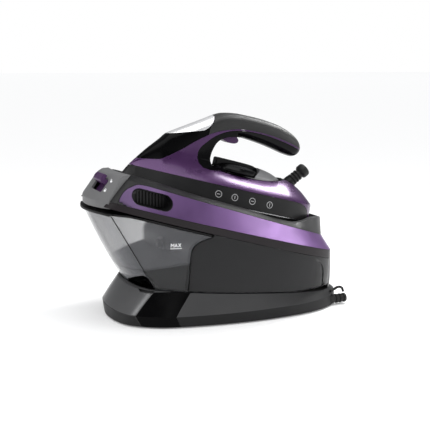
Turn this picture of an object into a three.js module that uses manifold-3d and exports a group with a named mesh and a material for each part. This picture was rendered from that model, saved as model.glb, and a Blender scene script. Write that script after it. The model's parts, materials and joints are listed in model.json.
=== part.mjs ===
// Steam generator iron: a wedge shaped station with a removable water tank at its
// nose, and a steam iron resting on its sloping deck. Millimetres, +Z up, the nose
// towards -X, origin on the floor under the middle of the object.
import * as THREE from "three";
import { mergeVertices } from "three/addons/utils/BufferGeometryUtils.js";
import Module from "manifold-3d";

const wasm = await Module();
wasm.setup();

// ---------------------------------------------------------------- dimensions
const GAP = 0.35; // clearance between touching pieces
const SHIFT_X = 5.45; // moves the design frame so that the box is centred on x = 0
const DECK_DEG = 14.5; // slope of the rest deck and of the parked iron
const IRON_AT = [-138, 0, 193]; // where the iron's own origin sits
const PLINTH_BOTTOM = 2;
const STRIP_TOP = 16.5; // top of the upright strip round the plinth
const WALL = 2.5; // moulded wall of covers and tank
const BELT_WALL = 4;
const FOOT_R = 9;
const SOLE_W = -9.5; // underside of the soleplate in the iron's frame
const SKIRT_TOP = 15; // seam between heat skirt and body
const TRAY_W = -13.2; // floor of the rest tray
const GRIP_HALF = 16.5;
const KNOB_U = 163;
const KNOB_R = 33;
const TANK_REAR = -75;
const TIDY = 0.015; // slivers below this are collapsed

// plan outlines, half of each: [x, half width] from the nose to the rear
const C0 = [[-157, 0], [-155.5, 20], [-150, 40], [-140, 55], [-120, 71.5], [-94, 83], [-40, 95], [15, 101], [70, 100], [108, 94], [137, 82], [157, 65], [171, 38], [176, 0]];
const C1 = [[-158, 0], [-156.5, 22], [-152, 42], [-143.5, 58], [-121, 74.5], [-95, 87], [-40, 98], [15, 103], [70, 102], [110, 94], [139, 80], [158, 61], [171.5, 36], [176.5, 0]];
const C2 = [[-133, 0], [-132, 18], [-128.5, 40], [-117, 62.6], [-97, 72], [-70, 80.5], [-25, 87.5], [20, 89.5], [65, 88.5], [100, 84], [129, 76], [151, 60], [165.5, 36], [170.5, 0]];
const B = [[-131.3, 0], [-130.2, 20], [-125.8, 41], [-114.6, 60.4], [-95.3, 70], [-69, 79], [-25, 86], [20, 88], [65, 87], [100, 82.6], [128, 74.7], [150, 59], [164.3, 35], [169.3, 0]];
const A0 = [[-188, 0], [-186, 20], [-180, 42], [-169.5, 58], [-143, 73], [-107, 85], [-65, 92.5], [0, 96.5], [60, 94], [105, 85], [135, 73], [151, 60], [166, 34], [171, 0]];
const A1 = [[-180, 0], [-178, 20], [-172.5, 42], [-165, 59], [-140, 74], [-105, 86], [-65, 93.5], [0, 97.5], [60, 95], [105, 86], [135, 73.5], [151, 60], [166, 34], [171, 0]];
const PP = [[-152, 0], [-150, 22], [-146, 40], [-140, 54], [-118, 66], [-90, 77], [-55, 86], [0, 89], [55, 87], [95, 79], [120, 69], [137, 56], [151, 32], [156, 0]];
// deck rim in the deck's own frame: [u, half width]
const DK = [[-2, 0], [-1, 22], [3, 38], [10, 49], [36, 57], [66, 65], [100, 71], [155, 75], [205, 74], [243, 68], [268, 61], [285, 49], [300, 28], [306, 0]];

const zB = (x) => 48 - 0.1 * (x + 112); // top edge of the plinth
const zA0 = (x) => 157 - 0.289 * (x + 169); // underside of the belt
const zA1 = (x) => 164 - 0.2766 * (x + 163); // top of the belt
const zP = (x) => 189 - 0.326 * (x + 137); // top of the side band
const RIM = [[-10, 3], [20, 2], [92, -4], [150, -7], [175, -9], [205, -12], [232, -12.5], [252, -8], [268, -1], [285, 1], [320, 1]];

// ---------------------------------------------------------------- materials
const mat = (color, roughness, metalness = 0, extra = {}) =>
  new THREE.MeshStandardMaterial({ color, roughness, metalness, ...extra });
const M = {
  dark: () => mat(0x2e2c2e, 0.5),
  skirt: () => mat(0x3c3b3d, 0.42),
  black: () => mat(0x141414, 0.4),
  gloss: () => mat(0x0c0c0d, 0.12),
  grey: () => mat(0x8a8a8c, 0.38),
  toe: () => mat(0x8f8f91, 0.3, 0.3),
  purple: () => mat(0x5d3477, 0.3, 0.25),
  lilac: () => mat(0xa77fc0, 0.4),
  belt: () => mat(0x3a3538, 0.45),
  smoke: () => mat(0x4a4b4f, 0.1, 0, { transparent: true, opacity: 0.45 }),
  silver: () => mat(0xd9d9dc, 0.22, 0.8),
  soft: () => mat(0x1b1b1c, 0.6),
  rubber: () => mat(0x111111, 0.85),
  steel: () => mat(0xb9bcc0, 0.3, 1),
  alu: () => mat(0xa9abad, 0.5, 0.9),
  brass: () => mat(0xb08d4a, 0.35, 1),
  board: () => mat(0x1f5a35, 0.6),
  plat: () => mat(0x47484a, 0.4),
};

// ---------------------------------------------------------------- helpers
const v3 = (x, y, z) => new THREE.Vector3(x, y, z);

function orient(pos, idx) {
  let vol = 0;
  for (let i = 0; i < idx.length; i += 3) {
    const [a, b, c] = [idx[i] * 3, idx[i + 1] * 3, idx[i + 2] * 3];
    vol += pos[a] * (pos[b + 1] * pos[c + 2] - pos[b + 2] * pos[c + 1])
      - pos[a + 1] * (pos[b] * pos[c + 2] - pos[b + 2] * pos[c])
      + pos[a + 2] * (pos[b] * pos[c + 1] - pos[b + 1] * pos[c]);
  }
  if (vol < 0) for (let i = 0; i < idx.length; i += 3) [idx[i + 1], idx[i + 2]] = [idx[i + 2], idx[i + 1]];
}

function geometryOf(pos, idx) {
  orient(pos, idx);
  const g = new THREE.BufferGeometry();
  g.setAttribute("position", new THREE.Float32BufferAttribute(pos, 3));
  g.setIndex(idx);
  return g;
}

// Loft of rings that are symmetric about y = 0: point 0 and point n/2 lie on the
// mirror plane, and the ends are closed by strips across the mirror plane.
function loft(rings) {
  const n = rings[0].length, pos = [], idx = [], h = n / 2;
  for (const r of rings) for (const p of r) pos.push(p[0], p[1], p[2]);
  for (let k = 0; k + 1 < rings.length; k++)
    for (let i = 0; i < n; i++) {
      const a = k * n + i, b = k * n + ((i + 1) % n);
      idx.push(a, b, b + n, a, b + n, a + n);
    }
  const cap = (o, flip) => {
    const t = (a, b, c) => (flip ? idx.push(o + a, o + c, o + b) : idx.push(o + a, o + b, o + c));
    t(0, n - 1, 1);
    for (let i = 1; i < h - 1; i++) {
      t(i, n - i, i + 1);
      t(i + 1, n - i, n - i - 1);
    }
    t(h - 1, h + 1, h);
  };
  cap(0, false);
  cap((rings.length - 1) * n, true);
  return geometryOf(pos, idx);
}

// Loft of rings of any shape, with its ends triangulated in the (p, q) axes given.
function loftAny(rings, p, q) {
  const n = rings[0].length, pos = [], idx = [];
  for (const r of rings) for (const c of r) pos.push(c[0], c[1], c[2]);
  for (let k = 0; k + 1 < rings.length; k++)
    for (let i = 0; i < n; i++) {
      const a = k * n + i, b = k * n + ((i + 1) % n);
      idx.push(a, b, b + n, a, b + n, a + n);
    }
  const cap = (k, flip) => {
    const flat = rings[k].map((c) => new THREE.Vector2(c[p], c[q]));
    for (const f of THREE.ShapeUtils.triangulateShape(flat, []))
      flip ? idx.push(k * n + f[0], k * n + f[2], k * n + f[1]) : idx.push(k * n + f[0], k * n + f[1], k * n + f[2]);
  };
  // the winding of the ends must agree with the sides
  const area = THREE.ShapeUtils.area(rings[0].map((c) => new THREE.Vector2(c[p], c[q])));
  cap(0, area > 0);
  cap(rings.length - 1, area <= 0);
  const g = geometryOf(pos, idx);
  return g;
}

function solid(geometry, matrix) {
  let g = geometry.clone();
  g.deleteAttribute("normal");
  g.deleteAttribute("uv");
  if (matrix) g.applyMatrix4(matrix);
  g = mergeVertices(g, 1e-4);
  return new wasm.Manifold(new wasm.Mesh({
    numProp: 3,
    vertProperties: new Float32Array(g.attributes.position.array),
    triVerts: new Uint32Array(g.index.array),
  }));
}

function fromSolid(s) {
  const parts = s.decompose();
  let best = parts.reduce((a, b) => (a.volume() > b.volume() ? a : b));
  best = best.asOriginal().simplify(TIDY);
  const m = best.getMesh(), g = new THREE.BufferGeometry();
  const pos = [];
  for (let i = 0; i < m.vertProperties.length; i += m.numProp)
    pos.push(m.vertProperties[i], m.vertProperties[i + 1], m.vertProperties[i + 2]);
  g.setAttribute("position", new THREE.Float32BufferAttribute(pos, 3));
  g.setIndex(Array.from(m.triVerts));
  return g;
}

const moved = (g, x, y, z) => g.clone().translate(x, y, z);
const boxG = (x0, y0, z0, x1, y1, z1) =>
  new THREE.BoxGeometry(x1 - x0, y1 - y0, z1 - z0).translate((x0 + x1) / 2, (y0 + y1) / 2, (z0 + z1) / 2);
const box = (...a) => solid(boxG(...a));

// A prism of a profile in (x, z), running along y.
function prismG(pts, y0, y1) {
  const shape = new THREE.Shape(pts.map((p) => new THREE.Vector2(p[0], p[1])));
  const g = new THREE.ExtrudeGeometry(shape, { depth: y1 - y0, bevelEnabled: false, curveSegments: 1 });
  return g.rotateX(Math.PI / 2).translate(0, y1, 0);
}
const prism = (pts, y0 = -160, y1 = 160) => solid(prismG(pts, y0, y1));
// A prism of a profile in (x, y), running along z.
function prismZ(pts, z0, z1) {
  const shape = new THREE.Shape(pts.map((p) => new THREE.Vector2(p[0], p[1])));
  return solid(new THREE.ExtrudeGeometry(shape, { depth: z1 - z0, bevelEnabled: false, curveSegments: 1 }).translate(0, 0, z0));
}
// A cylinder or cone between two points.
function rodG(a, b, r, seg = 16, r2 = r) {
  const p = v3(...a), q = v3(...b), d = q.clone().sub(p);
  const g = new THREE.CylinderGeometry(r2, r, d.length(), seg);
  g.applyQuaternion(new THREE.Quaternion().setFromUnitVectors(v3(0, 1, 0), d.clone().normalize()));
  return g.translate((p.x + q.x) / 2, (p.y + q.y) / 2, (p.z + q.z) / 2);
}
const rod = (...a) => solid(rodG(...a));
// A turned piece: profile [radius, height] along the axis from point a in direction d.
function turnedG(profile, a, d, seg = 20) {
  const g = new THREE.LatheGeometry(profile.map((p) => new THREE.Vector2(Math.max(p[0], 0), p[1])), seg);
  g.applyQuaternion(new THREE.Quaternion().setFromUnitVectors(v3(0, 1, 0), v3(...d).normalize()));
  return g.translate(...a);
}
function turned(profile, a, d, seg) {
  let g = turnedG(profile, a, d, seg);
  g.deleteAttribute("normal");
  g.deleteAttribute("uv");
  g = mergeVertices(g, 1e-4);
  const idx = [];
  for (let i = 0; i < g.index.count; i += 3) {
    const t = [g.index.array[i], g.index.array[i + 1], g.index.array[i + 2]];
    if (t[0] !== t[1] && t[1] !== t[2] && t[0] !== t[2]) idx.push(...t);
  }
  return solid(geometryOf(Array.from(g.attributes.position.array), idx));
}
// A round tube or wire along points.
function pipeG(points, r, seg = 8, steps = 20) {
  const curve = new THREE.CatmullRomCurve3(points.map((p) => v3(...p)));
  const shape = new THREE.Shape();
  for (let i = 0; i < seg; i++) {
    const t = (i / seg) * Math.PI * 2, x = r * Math.cos(t), y = r * Math.sin(t);
    i ? shape.lineTo(x, y) : shape.moveTo(x, y);
  }
  shape.closePath();
  return new THREE.ExtrudeGeometry(shape, { steps, extrudePath: curve, bevelEnabled: false });
}

// monotone interpolation of a table [[x, y], ...]
function table(t) {
  const n = t.length, d = [], m = [];
  for (let i = 0; i + 1 < n; i++) d.push((t[i + 1][1] - t[i][1]) / (t[i + 1][0] - t[i][0]));
  m.push(d[0]);
  for (let i = 1; i + 1 < n; i++) m.push(d[i - 1] * d[i] <= 0 ? 0 : (2 * d[i - 1] * d[i]) / (d[i - 1] + d[i]));
  m.push(d[n - 2]);
  return (x) => {
    if (x <= t[0][0]) return t[0][1];
    if (x >= t[n - 1][0]) return t[n - 1][1];
    let i = 0;
    while (x > t[i + 1][0]) i++;
    const h = t[i + 1][0] - t[i][0], s = (x - t[i][0]) / h;
    return (2 * s ** 3 - 3 * s ** 2 + 1) * t[i][1] + (s ** 3 - 2 * s ** 2 + s) * h * m[i]
      + (-2 * s ** 3 + 3 * s ** 2) * t[i + 1][1] + (s ** 3 - s ** 2) * h * m[i + 1];
  };
}

// ---------------------------------------------------------------- station volumes
const TH = (DECK_DEG * Math.PI) / 180, CT = Math.cos(TH), ST = Math.sin(TH);
const toWorld = (u, y, w) => [IRON_AT[0] + u * CT + w * ST, y, IRON_AT[2] - u * ST + w * CT];
const IRON_M = new THREE.Matrix4().makeRotationY(TH).setPosition(...IRON_AT);
const rimW = table(RIM);

const SUB = 1;
// half outline -> denser half outline through the same points
function dense(half) {
  const ext = [[half[1][0], -half[1][1]], ...half, [half[half.length - 2][0], -half[half.length - 2][1]]];
  const out = [];
  for (let i = 1; i + 2 < ext.length; i++)
    for (let s = 0; s < SUB; s++) {
      const t = s / SUB, [p0, p1, p2, p3] = [ext[i - 1], ext[i], ext[i + 1], ext[i + 2]];
      out.push([0, 1].map((k) => 0.5 * (2 * p1[k] + (p2[k] - p0[k]) * t + (2 * p0[k] - 5 * p1[k] + 4 * p2[k] - p3[k]) * t * t
        + (3 * p1[k] - p0[k] - 3 * p2[k] + p3[k]) * t ** 3)));
    }
  out.push(half[half.length - 1]);
  return out;
}
// moves a half outline inwards by t
function inset(half, t) {
  if (!t) return half;
  return half.map((p, i) => {
    const a = i ? half[i - 1] : [half[1][0], -half[1][1]];
    const b = i + 1 < half.length ? half[i + 1] : [half[i - 1][0], -half[i - 1][1]];
    const dx = b[0] - a[0], dy = b[1] - a[1], l = Math.hypot(dx, dy);
    return [p[0] + (dy / l) * t, i === 0 || i === half.length - 1 ? 0 : Math.max(p[1] - (dx / l) * t, 0.4)];
  });
}
// half outline + height function -> symmetric ring
function ring(half, z) {
  const near = half.map(([x, y]) => [x, -y, z(x, y)]);
  const far = half.slice(1, -1).reverse().map(([x, y]) => [x, y, z(x, y)]);
  return [...near, ...far];
}
const lvl = (ctrl, t, z) => ring(inset(dense(ctrl), t), z);
const plinthVol = (t = 0, z0 = PLINTH_BOTTOM, dTop = 0) =>
  loft([lvl(C0, t, () => z0), lvl(C1, t, () => STRIP_TOP), lvl(C2, t, (x) => zB(x) + dTop)]);
// middle ring of the tank and side covers: the nose bulges forward
const MIDF = 0.45;
const MIDR = B.map(([x, y], i) => {
  const a = A0[i], f = MIDF, k = Math.max(0, 1 - i / 4.5);
  return [x + (a[0] - x) * f - 3 * k, y + (a[1] - y) * f + (i ? 1.6 : 0)];
});
const zMid = (x) => zB(x) + (zA0(x) - zB(x)) * MIDF;
// carries outline a, at height plane za, on past itself along the wall that comes from b
const ext = (a, b, za, zb, dz) => a.map(([x, y], i) => {
  const k = dz / (za(b[i][0]) - zb(b[i][0]));
  return [x + (x - b[i][0]) * k, y + (y - b[i][1]) * k];
});
const midVol = (t = 0, lo = GAP, hi = -GAP) =>
  loft([lvl(ext(B, MIDR, zB, zMid, lo), t, (x) => zB(x) + lo), lvl(MIDR, t, zMid), lvl(ext(A0, MIDR, zA0, zMid, hi), t, (x) => zA0(x) + hi)]);
const beltVol = (t = 0, lo = 0, hi = -GAP) =>
  loft([lvl(A0, t, (x) => zA0(x) + lo), lvl(A1, t, (x) => zA1(x) + hi)]);
function deckRing(t, dw) {
  const half = inset(dense(DK), t);
  const near = half.map(([u, y]) => toWorld(u, -y, rimW(u) + dw));
  const far = half.slice(1, -1).reverse().map(([u, y]) => toWorld(u, y, rimW(u) + dw));
  return [...near, ...far];
}
const upVol = (t = 0, lo = 0, dw = 0) =>
  loft([lvl(ext(A1, PP, zA1, zP, lo), t, (x) => zA1(x) + lo), lvl(PP, t, (x) => zP(x)), deckRing(t, dw)]);

// ---------------------------------------------------------------- iron volumes
const hSole = table([[-3, 0.5], [2, 5.5], [10, 11.5], [25, 20.5], [50, 31.5], [80, 40.5], [110, 47.5], [150, 53.5], [190, 56], [225, 55.5], [248, 51.5], [266, 44], [278, 34], [286, 23], [290, 13], [292, 4]]);
const hTop = table([[-3, 0.3], [9, 1.5], [14, 7], [25, 14.5], [50, 26.5], [80, 36.5], [110, 44], [150, 50.5], [190, 53], [225, 52.5], [248, 48.5], [266, 41], [278, 31], [286, 20], [290, 10.5], [292.5, 3]]);
const colTop = table([[-3, -7], [2, 2], [9, 14.3], [17, 25], [30, 41], [47, 60], [52, 66.5], [60, 72], [80, 84.5], [100, 97], [114, 106], [122, 110], [134, 113], [148, 115]]);
const colHalf = table([[-3, 0.3], [9, 1], [17, 3.5], [30, 9], [50, 14], [80, 16.5], [110, 17], [148, 16.5]]);
const domeTop = table([[-3, -7], [9, 13], [17, 19], [40, 28], [80, 37], [120, 43], [200, 43], [237, 42.5], [250, 40], [265, 34], [280, 24], [288, 14], [292.5, 1.5]]);

// section of the body at u: ring of [u, y, w], symmetric, first point bottom centre
function sectionRing(u, pts) {
  const near = pts.map(([y, w]) => [u, -y, w]);
  const far = pts.slice(1, -1).reverse().map(([y, w]) => [u, y, w]);
  return [...near, ...far];
}
function colSection(u, t = 0, w0 = -8) {
  const top = Math.max(colTop(u) - t * 1.2, w0 + 0.5), c = Math.max(colHalf(u) - t, 0.3);
  const hs = Math.max(hSole(u) - 0.5 - t, 0.4), h15 = Math.max(hTop(u) - t, 0.35);
  const wm = Math.min(SKIRT_TOP, w0 + (top - w0) * 0.8);
  const pts = [[0, w0], [hs, w0], [Math.max(h15, c), wm]];
  const shoulder = Math.max(top - c * 0.8, wm + (top - wm) * 0.55);
  const flareTop = Math.min(46, wm + (shoulder - wm) * 0.9);
  for (const f of [0.3, 0.62, 1]) {
    const w = wm + (flareTop - wm) * f;
    pts.push([c + (Math.max(h15, c) - c) * (1 - f) ** 1.7, w]);
  }
  pts.push([c, shoulder]);
  for (const a of [35, 65]) {
    const r = (a * Math.PI) / 180;
    pts.push([c * Math.cos(r), shoulder + (top - shoulder) * Math.sin(r)]);
  }
  pts.push([0, top]);
  return sectionRing(u, pts);
}
function domeSection(u, t = 0, w0 = -8) {
  const top = Math.max(domeTop(u) - t, w0 + 0.5), hs = Math.max(hSole(u) - 0.5 - t, 0.4), h15 = Math.max(hTop(u) - t, 0.35);
  const wm = Math.min(SKIRT_TOP, w0 + (top - w0) * 0.7);
  const pts = [[0, w0], [hs, w0], [h15, wm]];
  for (const [f, g] of [[0.94, 0.12], [0.8, 0.33], [0.6, 0.58], [0.4, 0.8], [0.22, 0.94]]) pts.push([h15 * f, wm + (top - wm) * g]);
  pts.push([0, top]);
  return sectionRing(u, pts);
}
const gripTop = table([[104, 98.5], [116, 106.5], [125, 110.5], [140, 114], [154, 115.3], [180, 116], [208, 114.3], [225, 111], [243, 104], [251, 98], [256.5, 90.5]]);
const gripBot = table([[104, 80], [125, 80], [146, 82], [160, 83.8], [190, 82], [213, 79], [232, 76], [243, 75.3], [250, 77.5], [255, 83], [256.5, 86.5]]);
const gripHalf = table([[104, 15.5], [140, GRIP_HALF], [215, GRIP_HALF], [236, 15.6], [247, 13], [253, 8.8], [256.5, 3.5]]);
function gripSection(u, t = 0) {
  const hi = gripTop(u) - t, lo = gripBot(u) + t, h = gripHalf(u) - t, mid = (hi + lo) / 2, hh = (hi - lo) / 2;
  const pts = [];
  for (let i = 0; i <= 7; i++) {
    const a = -Math.PI / 2 + (Math.PI * i) / 7, ca = Math.cos(a), sa = Math.sin(a);
    pts.push([i === 0 || i === 7 ? 0 : h * Math.pow(Math.abs(ca), 0.86), mid + hh * Math.sign(sa) * Math.pow(Math.abs(sa), 0.86)]);
  }
  return sectionRing(u, pts);
}
const bodyUs = [-3, 3, 10, 25, 50, 80, 115, 150, 190, 225, 250, 268, 279, 287, 292.5];
const colUs = [-3, 3, 10, 17, 30, 47, 53, 62, 80, 97, 114, 132, 148];
const gripUs = [104, 134, 152, 178, 205, 225, 240, 249, 254.5, 256.5];
const LOOP = [[121, 18], [121, 30], [118.4, 37], [115.2, 46], [115.2, 54], [117, 62], [120.5, 70], [128.5, 77], [140, 81.4], [160, 83.6], [190, 81.9], [213, 78.9], [232, 75.9], [243, 75], [300, 75], [300, 18]];

const gripV = solid(loft(gripUs.map((u) => gripSection(u))));
const gripCore = solid(loft([110, 150, 215, 242].map((u) => gripSection(u, 5))));
const upperV = solid(loft(colUs.map((u) => colSection(u)))).add(gripV).subtract(prism(LOOP));
const domeV = solid(loft(bodyUs.map((u) => domeSection(u))));
const ironV = upperV.add(domeV);
const coreV = solid(loft([16, 47, 62, 90, 114].map((u) => colSection(u, 3.2, -9))))
  .subtract(prism([[116.5, -20], [200, -20], [200, 140], [116.5, 140]]));
const domeCore = solid(loft([9, 40, 90, 150, 200, 240, 266, 281].map((u) => domeSection(u, 3.2, -9))));

const root = new THREE.Group();
root.position.set(SHIFT_X, 0, 0);
const iron = new THREE.Group();
iron.position.set(...IRON_AT);
iron.rotation.y = TH;
root.add(iron);
function put(name, geo, material, parent = root) {
  const g = geo instanceof THREE.BufferGeometry ? geo : fromSolid(geo);
  const mesh = new THREE.Mesh(g, material);
  mesh.name = name;
  parent.add(mesh);
  return mesh;
}

// ================================================================ STATION
const plinthFull = solid(plinthVol());
const plinthIn = (t) => solid(plinthVol(t, -4, -t));
// --- gloss corner panels and the grey toe panel are 2 mm skins let into the plinth
const quad = () => [[-113, -64.8], [-182, -55.2], [-190, -117.2], [-66, -77.5]];
const grow = () => [[-111.5, -64.6], [-188, -53.96], [-196, -119.5], [-62.5, -76.76]];
const cornerNear = quad(), cornerNearBig = grow();
const mir = (pts) => pts.map(([x, y]) => [x, -y]).reverse();
const in2 = plinthIn(2);
const seatOf = (s) => in2.translate([0.5, -0.5 * s, -0.5]).intersect(in2.translate([0.5, 0, -0.6]));
const cornerR = plinthFull.intersect(prismZ(cornerNear, 0, 46)).subtract(in2), cornerL = plinthFull.intersect(prismZ(mir(cornerNear), 0, 46)).subtract(in2);
put("corner_panel_right", cornerR, M.gloss());
put("corner_panel_left", cornerL, M.gloss());
const toeRegion = [[-115.5, -63.6], [-190, -53.2], [-190, 53.2], [-115.5, 63.6]];
put("toe_panel", plinthFull.intersect(prismZ(toeRegion, STRIP_TOP + 1, 47.4)).subtract(in2).subtract(prismZ([[-129.2, -70], [-60, -70], [-60, 70], [-129.2, 70]], 44.6, 60)), M.toe());
const cutCorner = prismZ(cornerNearBig, -5, 46 + GAP).subtract(seatOf(-1));
const cutCornerL = prismZ(mir(cornerNearBig), -5, 46 + GAP).subtract(seatOf(1));
const cutToe = prismZ([[-114.6, -64.4], [-190, -54], [-190, 54], [-114.6, 64.4]], STRIP_TOP + 1 - GAP, 47.4 + GAP).subtract(in2.translate([0.6, 0, -0.4]));
// hollow of the plinth, its top plate and the well for the inner housing
const plinthHollow = solid(plinthVol(5, -4, -4.5));
const well = prismZ([[-64, -62], [60, -70], [118, -62], [138, -44], [138, 44], [118, 62], [60, 70], [-64, 62]], 10, 80);
const TRAY = [[-129.6, -12], [-128.4, -26], [-125.5, -39], [-117, -54], [-106, -58], [-106, 58], [-117, 54], [-125.5, 39], [-128.4, 26], [-129.6, 12]];
const BOOT_Y = 72, BOOT_Z = 8.4;
const bootHoles = rod([128, -BOOT_Y, BOOT_Z], [200, -BOOT_Y, BOOT_Z], 7, 14).add(rod([128, BOOT_Y, BOOT_Z], [200, BOOT_Y, BOOT_Z], 7, 14));
const trayPocket = prismZ(TRAY.map(([x, y]) => [x + (x > -110 ? 0.4 : -0.4), y * 1.01]), 45.2, 70);
let plinth = plinthFull.subtract(cutCorner).subtract(cutCornerL).subtract(cutToe).subtract(plinthHollow)
  .subtract(well).subtract(trayPocket).subtract(bootHoles);
put("plinth", plinth, M.skirt());
// finger tray on top of the toe
// its top follows the slope that the tank slides along
const trayTop = prism([[-160, 40], [-80, 40], [-80, zB(-80) + 0.5], [-160, zB(-160) + 0.5]]);
const trayBody = prismZ(TRAY, 45.6, 49.2).intersect(trayTop).subtract(solid(new THREE.SphereGeometry(60, 14, 8).rotateX(Math.PI / 2).scale(0.34, 0.8, 0.12).translate(-106, 0, 53.8)));
put("toe_tray", trayBody, M.gloss());
// base plate and feet
put("base_plate", prismZ([...inset(dense(C0), 6.6).map(([x, y]) => [x, -y]), ...inset(dense(C0), 6.6).slice(1, -1).reverse()], 3.6, 6).subtract(bootHoles), M.black());
for (const [name, x, y] of [["foot_front_right", -112, -44], ["foot_front_left", -112, 44], ["foot_rear_right", 122, -52], ["foot_rear_left", 122, 52]])
  put(name, rodG([x, y, 0], [x, y, 3.25], FOOT_R, 14, FOOT_R - 0.6), M.rubber());

// --- tank rear profile, and the housing front that follows it
const REARC = [[TANK_REAR, 30], [TANK_REAR, 96], [TANK_REAR + 1.6, 103.5], [TANK_REAR + 6.5, 110], [TANK_REAR + 15, 114.3], [TANK_REAR + 27, 117.2], [TANK_REAR + 30, 122], [TANK_REAR + 30, 190]];
const behind = (d) => [...REARC.map(([x, z]) => [x + d, z - d * 0.6]), [260, 190], [260, 30]];
const before = (d) => [...REARC.map(([x, z]) => [x - d, z + d * 0.4]), [-260, 190], [-260, 30]];
const lidTop = (x) => Math.min(zA0(x) - 1.4, 152.4 - 0.1 * (x + 188));
const LX = [-200, -150, -149, -120, -45.5];
const under = (d) => [...LX.map((x) => [x, lidTop(x) - d]), [-44, 20], [-200, 20]];
const mid0 = solid(midVol(0, 0.5, 6));
const midIn = (t, lo = -20, hi = 20) => solid(midVol(t, lo, hi));
const floorZ = (x) => 75.5 + 0.17 * (x + 126);
const above = (d) => [[-220, floorZ(-220) + d], [20, floorZ(20) + d], [20, 200], [-220, 200]];
const below = (d) => [[-220, floorZ(-220) + d], [20, floorZ(20) + d], [20, 0], [-220, 0]];
const tankOuter = mid0.intersect(prism(before(0))).intersect(prism(under(3)));
const tankCavity = midIn(WALL).intersect(prism(before(WALL))).intersect(prism(above(2.4)));
const tankUnder = midIn(WALL).intersect(prism(before(WALL))).intersect(prism(below(0)));
const FINGER = [[4, 40], [5, 52.6], [24.7, 58.6], [44.7, 64.8], [53.6, 67.2], [58.6, 68.2], [61.4, 65.2], [61.9, 58], [61.9, 46], [61.9, 40]];
const scoop = (pts) => solid(loftAny([-150, -104].map((x) => pts.map(([y, z]) => [x, y, z])), 1, 2));
const fingers = scoop(FINGER).add(scoop(FINGER.map(([y, z]) => [-y, z]).reverse()));
const VALVE_Z = 96;
const valveHole = rod([-90, 0, VALVE_Z], [-60, 0, VALVE_Z], 6.4, 12);
put("water_tank", tankOuter.subtract(tankCavity).subtract(tankUnder).subtract(fingers).subtract(valveHole), M.smoke());
const baseSolid = midIn(WALL + GAP, 1, 20).intersect(prism(before(WALL + GAP))).intersect(prism(below(-GAP)));
const baseHollow = midIn(WALL + GAP + 2.5, -20, 20).intersect(prism(before(WALL + GAP + 2.5))).intersect(prism(below(-GAP - 2.5)));
put("tank_base", baseSolid.subtract(baseHollow.subtract(box(-200, -62, 0, -102, 62, 71))).subtract(fingers), M.dark());
// lid with its pull lip and filler hole
const lidPlan = inset(dense(A0), 3.2);
const LIPX = -187.4;
const lipPlan = dense([[LIPX, 0], [LIPX + 2, 20], [LIPX + 7.8, 42], [LIPX + 16, 56.6]]);
const lidOutline = prismZ([
  [-48, -60], [-165, -58], ...lipPlan.slice().reverse().map(([x, y]) => [x, -y]),
  ...lipPlan.slice(1), [-165, 58], [-48, 60],
], 60, 200);
const lidSlab = prism([...LX.map((x) => [x, lidTop(x)]), ...LX.slice().reverse().map((x) => [x, lidTop(x) - 2.6])]);
const lidWide = solid(midVol(2.2, -20, 20)).add(lidOutline.intersect(box(-200, -70, 60, -168, 70, 200)));
const fillHole = box(-148, -18, 100, -118, 18, 200);
let lid = lidSlab.intersect(lidWide).intersect(box(-200, -120, 60, -46.5, 120, 200)).subtract(fillHole);
put("tank_lid", lid, M.dark());
// filler flap, hinged at its rear edge and sprung shut, opens into the tank
const FLAP_X = -119.6;
const flapZ = (x) => lidTop(x) - 0.2;
put("filler_flap", prism([[-147.4, flapZ(-147.4) - 2.2], [FLAP_X + 0.9, flapZ(FLAP_X) - 2.2], [FLAP_X + 0.9, flapZ(FLAP_X)], [-147.4, flapZ(-147.4)]], -17.4, 17.4), M.black());
// outlet valve of the tank and its dock
put("tank_valve", turned([[0, 0], [5.8, 0], [5.8, 6], [8.4, 6], [8.4, 9.6], [5, 9.6], [5, 17.6], [0, 17.6]], [-87.2, 0, VALVE_Z], [1, 0, 0], 12), M.black());
put("tank_dock", turned([[0, 0], [9, 0], [9, 7], [6.4, 7], [6.4, 2], [0, 2]], [-64.4, 0, VALVE_Z], [-1, 0, 0], 12), M.black());

// --- inner housing behind the tank, smoke side covers and rear cover
const housingOuter = midIn(5.6, 0.6, -1).intersect(prism(behind(1.4)));
const housingInner = midIn(8.2, -20, 20).intersect(prism(behind(4.4)));
const dockHole = rod([-76, 0, VALVE_Z], [-60, 0, VALVE_Z], 9.4, 12);
put("inner_housing", housingOuter.subtract(housingInner).subtract(dockHole).subtract(box(120, -200, 0, 300, 200, 200)), M.dark());
const coverSkin = solid(midVol(0, GAP, -GAP)).subtract(midIn(WALL)).intersect(prism(behind(1.4)));
const SEAM_X = 146;
put("side_cover_right", coverSkin.intersect(box(-100, -200, 0, SEAM_X, 0, 200)), M.smoke());
put("side_cover_left", coverSkin.intersect(box(-100, 0, 0, SEAM_X, 200, 200)), M.smoke());
const rearSolid = solid(midVol(0, GAP, -GAP)).subtract(midIn(WALL)).intersect(box(SEAM_X + 0.6, -200, 0, 300, 200, 200));
put("rear_cover", rearSolid.subtract(box(140, -11.5, 30, 200, 11.5, 48)), M.skirt());
// rocker switch in the rear cover
put("power_switch", prism([[158.5, 31.6], [166.4, 31.6], [167.6, 39], [166.4, 46.4], [158.5, 46.4]], -10.6, 10.6), M.black());

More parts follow.
